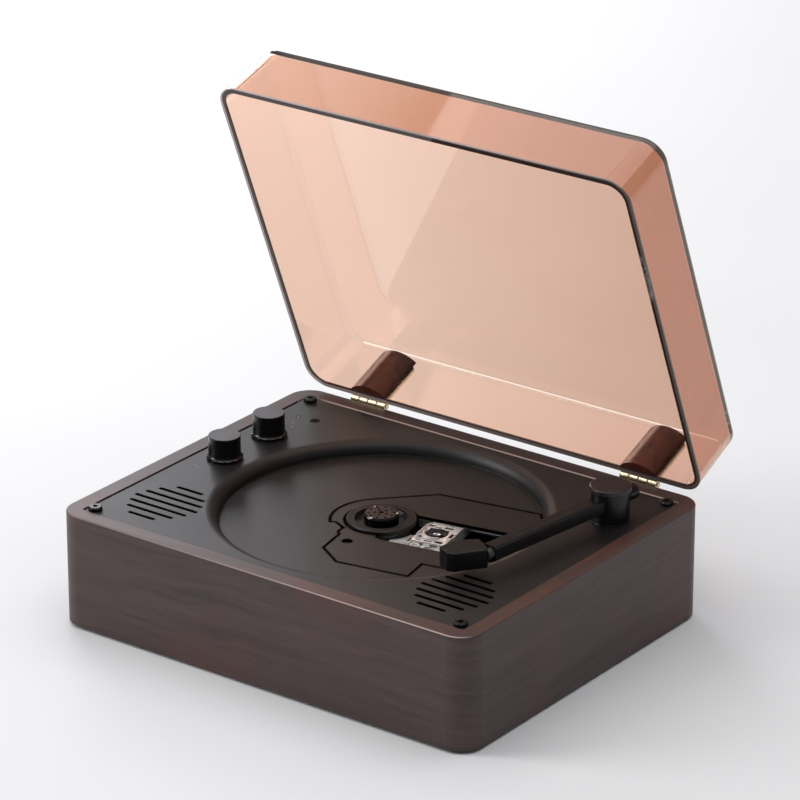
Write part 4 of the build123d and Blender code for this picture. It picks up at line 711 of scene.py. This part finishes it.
def pickup_frame():
    """Pressed frame round the lens, with its windows, ribs, curved wall and screw boss."""
    piece = block_at("pickup_frame", (-7.6, 8.0), (-10.2, 10.2), (-0.3, 0.0))
    combine_with(piece, [
        drum_at("lens window", 4.9, (0.0, 0.2), THROUGH),
        block_at("lens holder window", (-4.7, 4.2), (-3.0, 4.6), THROUGH),
        block_at("inner slot", (-6.6, -5.7), (-2.4, 2.8), THROUGH),
        block_at("back inner window", (-6.4, -3.4), (6.2, 7.5), THROUGH),
        block_at("back outer window", (0.6, 4.6), (6.2, 7.7), THROUGH),
        drum_at("three-cornered window", 1.5, (-5.4, -5.2), THROUGH, sides=3),
        block_at("front inner window", (-1.8, 1.4), (-9.2, -7.9), THROUGH),
        block_at("front outer window", (3.0, 6.4), (-8.8, -6.9), THROUGH),
        block_at("outer notch", (6.0, 9.0), (-1.6, 2.2), THROUGH),
        block_at("back corner notch", (-9.0, -6.2), (8.7, 12.0), THROUGH),
        block_at("front corner notch", (-9.0, -6.9), (-12.0, -8.9), THROUGH),
    ], "DIFFERENCE")
    wall = drum_at("curved wall", 5.9, (0.0, 0.0), (-0.1, 0.7))
    combine_with(wall, [
        drum_at("bore", 5.2, (0.0, 0.0), THROUGH),
        block_at("back half", (-9.0, 9.0), (0.8, 9.0), THROUGH),
        block_at("far end", (3.2, 9.0), (-9.0, 9.0), THROUGH),
    ], "DIFFERENCE")
    combine_with(piece, [
        wall,
        block_at("back rib", (-5.8, 3.0), (8.5, 9.1), (-0.1, 0.6)),
        block_at("inner rib", (-7.5, -6.95), (-4.2, 7.4), (-0.1, 0.5)),
        block_at("corner rib", (-3.2, -0.6), (5.1, 5.8), (-0.1, 0.6)),
        block_at("front rib", (-3.0, 2.6), (-7.3, -6.8), (-0.1, 0.4)),
        drum_at("screw boss", 1.1, (-5.0, -8.2), (-0.1, 0.45), sides=24),
    ], "UNION")
    combine_with(piece, [drum_at("screw hole", 0.5, (-5.0, -8.2), THROUGH, sides=16)], "DIFFERENCE")
    soften_edges(piece, 0.08 * MM)
    return piece


def sled_corner_shelf():
    """Pale corner of the sled beside the spindle motor, with a raised rib and step."""
    piece = block_at("sled_corner_shelf", (-16.4, -7.2), (-12.9, -2.8), (-1.9, -1.4))
    combine_with(piece, [
        drum_at("motor bite", 13.1, (-23.5, 0.0), THROUGH_SHELF, sides=96),
        drum_at("screw hole", 0.6, (-10.6, -11.4), THROUGH_SHELF, sides=24),
        block_at("slot", (-9.6, -8.2), (-9.4, -5.0), THROUGH_SHELF),
    ], "DIFFERENCE")
    combine_with(piece, [
        block_at("shelf rib", (-12.4, -7.4), (-12.6, -12.1), (-1.5, -0.9)),
        block_at("shelf step", (-8.0, -7.2), (-12.4, -3.0), (-1.5, -0.7)),
    ], "UNION")
    soften_edges(piece, 0.1 * MM)
    return piece


def dress_pickup():
    """The frame takes the plain cover's place, and both pieces ride on the sled."""
    frame_piece = pickup_frame()
    for piece in (frame_piece, sled_corner_shelf()):
        put_on_travel(piece)
        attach(piece, "sled")
        piece.data.materials.clear()
        piece.data.materials.append(finishes["sled_metal"])
    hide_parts("actuator_cover")


# ------------------------------------------------------------------ room, lights and camera
def make_room():
    """Plain pale floor and surroundings."""
    floor_level = cad_box[0].z
    bpy.ops.object.select_all(action="DESELECT")
    bpy.ops.mesh.primitive_plane_add(size=30.0, location=(0.0, 0.0, floor_level))
    floor = bpy.context.object
    floor.name = "floor"
    paper = Finish("pale paper floor", 0.75)
    cloud = paper.noise(3.0, 2.0)
    paper.colour(paper.ramp(cloud, (0.3, (0.80, 0.80, 0.81)), (0.7, (0.84, 0.84, 0.85))))
    floor.data.materials.append(paper.material)
    world = bpy.data.worlds.new("studio")
    bpy.context.scene.world = world
    world.use_nodes = True
    background = world.node_tree.nodes["Background"]
    background.inputs["Color"].default_value = (0.93, 0.95, 1.0, 1.0)
    background.inputs["Strength"].default_value = 0.25


def soft_box(name, location, aim, size, power, colour=WHITE):
    light = bpy.data.lights.new(name, "AREA")
    light.shape = "RECTANGLE"
    light.size, light.size_y = size
    light.energy = power
    light.color = colour
    lamp = bpy.data.objects.new(name, light)
    bpy.context.scene.collection.objects.link(lamp)
    lamp.location = location
    lamp.rotation_euler = (Vector(aim) - Vector(location)).to_track_quat("-Z", "Y").to_euler()


def make_lights():
    middle = (0.0, 0.0, 0.06)
    lavender = (0.98, 0.95, 1.0)
    behind_middle = (0.0, 0.6, 0.0)
    soft_box("window behind on the left", (-0.95, 0.66, 0.44), middle, size=(0.5, 0.42), power=4.0,
             colour=lavender)
    soft_box("big box overhead", (0.0, 0.6, 2.6), behind_middle, size=(3.6, 3.6), power=66.0)
    soft_box("key from the left", (-1.5, -1.1, 0.9), middle, size=(0.9, 0.9), power=16.0)
    soft_box("strip for the front edge", (-0.94, -0.66, 1.26), middle, size=(0.25, 0.5), power=3.0)


def set_tone():
    """Plain tones: colours come out as they are, a little darker."""
    view = bpy.context.scene.view_settings
    view.view_transform = "Standard"
    view.exposure = -0.1


def make_camera():
    """Long lens from the right front, looking down a little."""
    turn, tilt = math.radians(36.61), math.radians(22.58)
    lens = bpy.data.cameras.new("camera")
    lens.sensor_width = 36.0
    lens.lens = 205.4
    lens.clip_end = 100.0
    camera = bpy.data.objects.new("camera", lens)
    bpy.context.scene.collection.objects.link(camera)
    camera.location = (1.0576, -1.4103, 0.8321)
    camera.rotation_euler = Euler((math.pi / 2 - tilt, 0.0, turn))
    bpy.context.scene.camera = camera


dress_cad_nodes()
dress_pickup()
make_room()
make_lights()
set_tone()
make_camera()
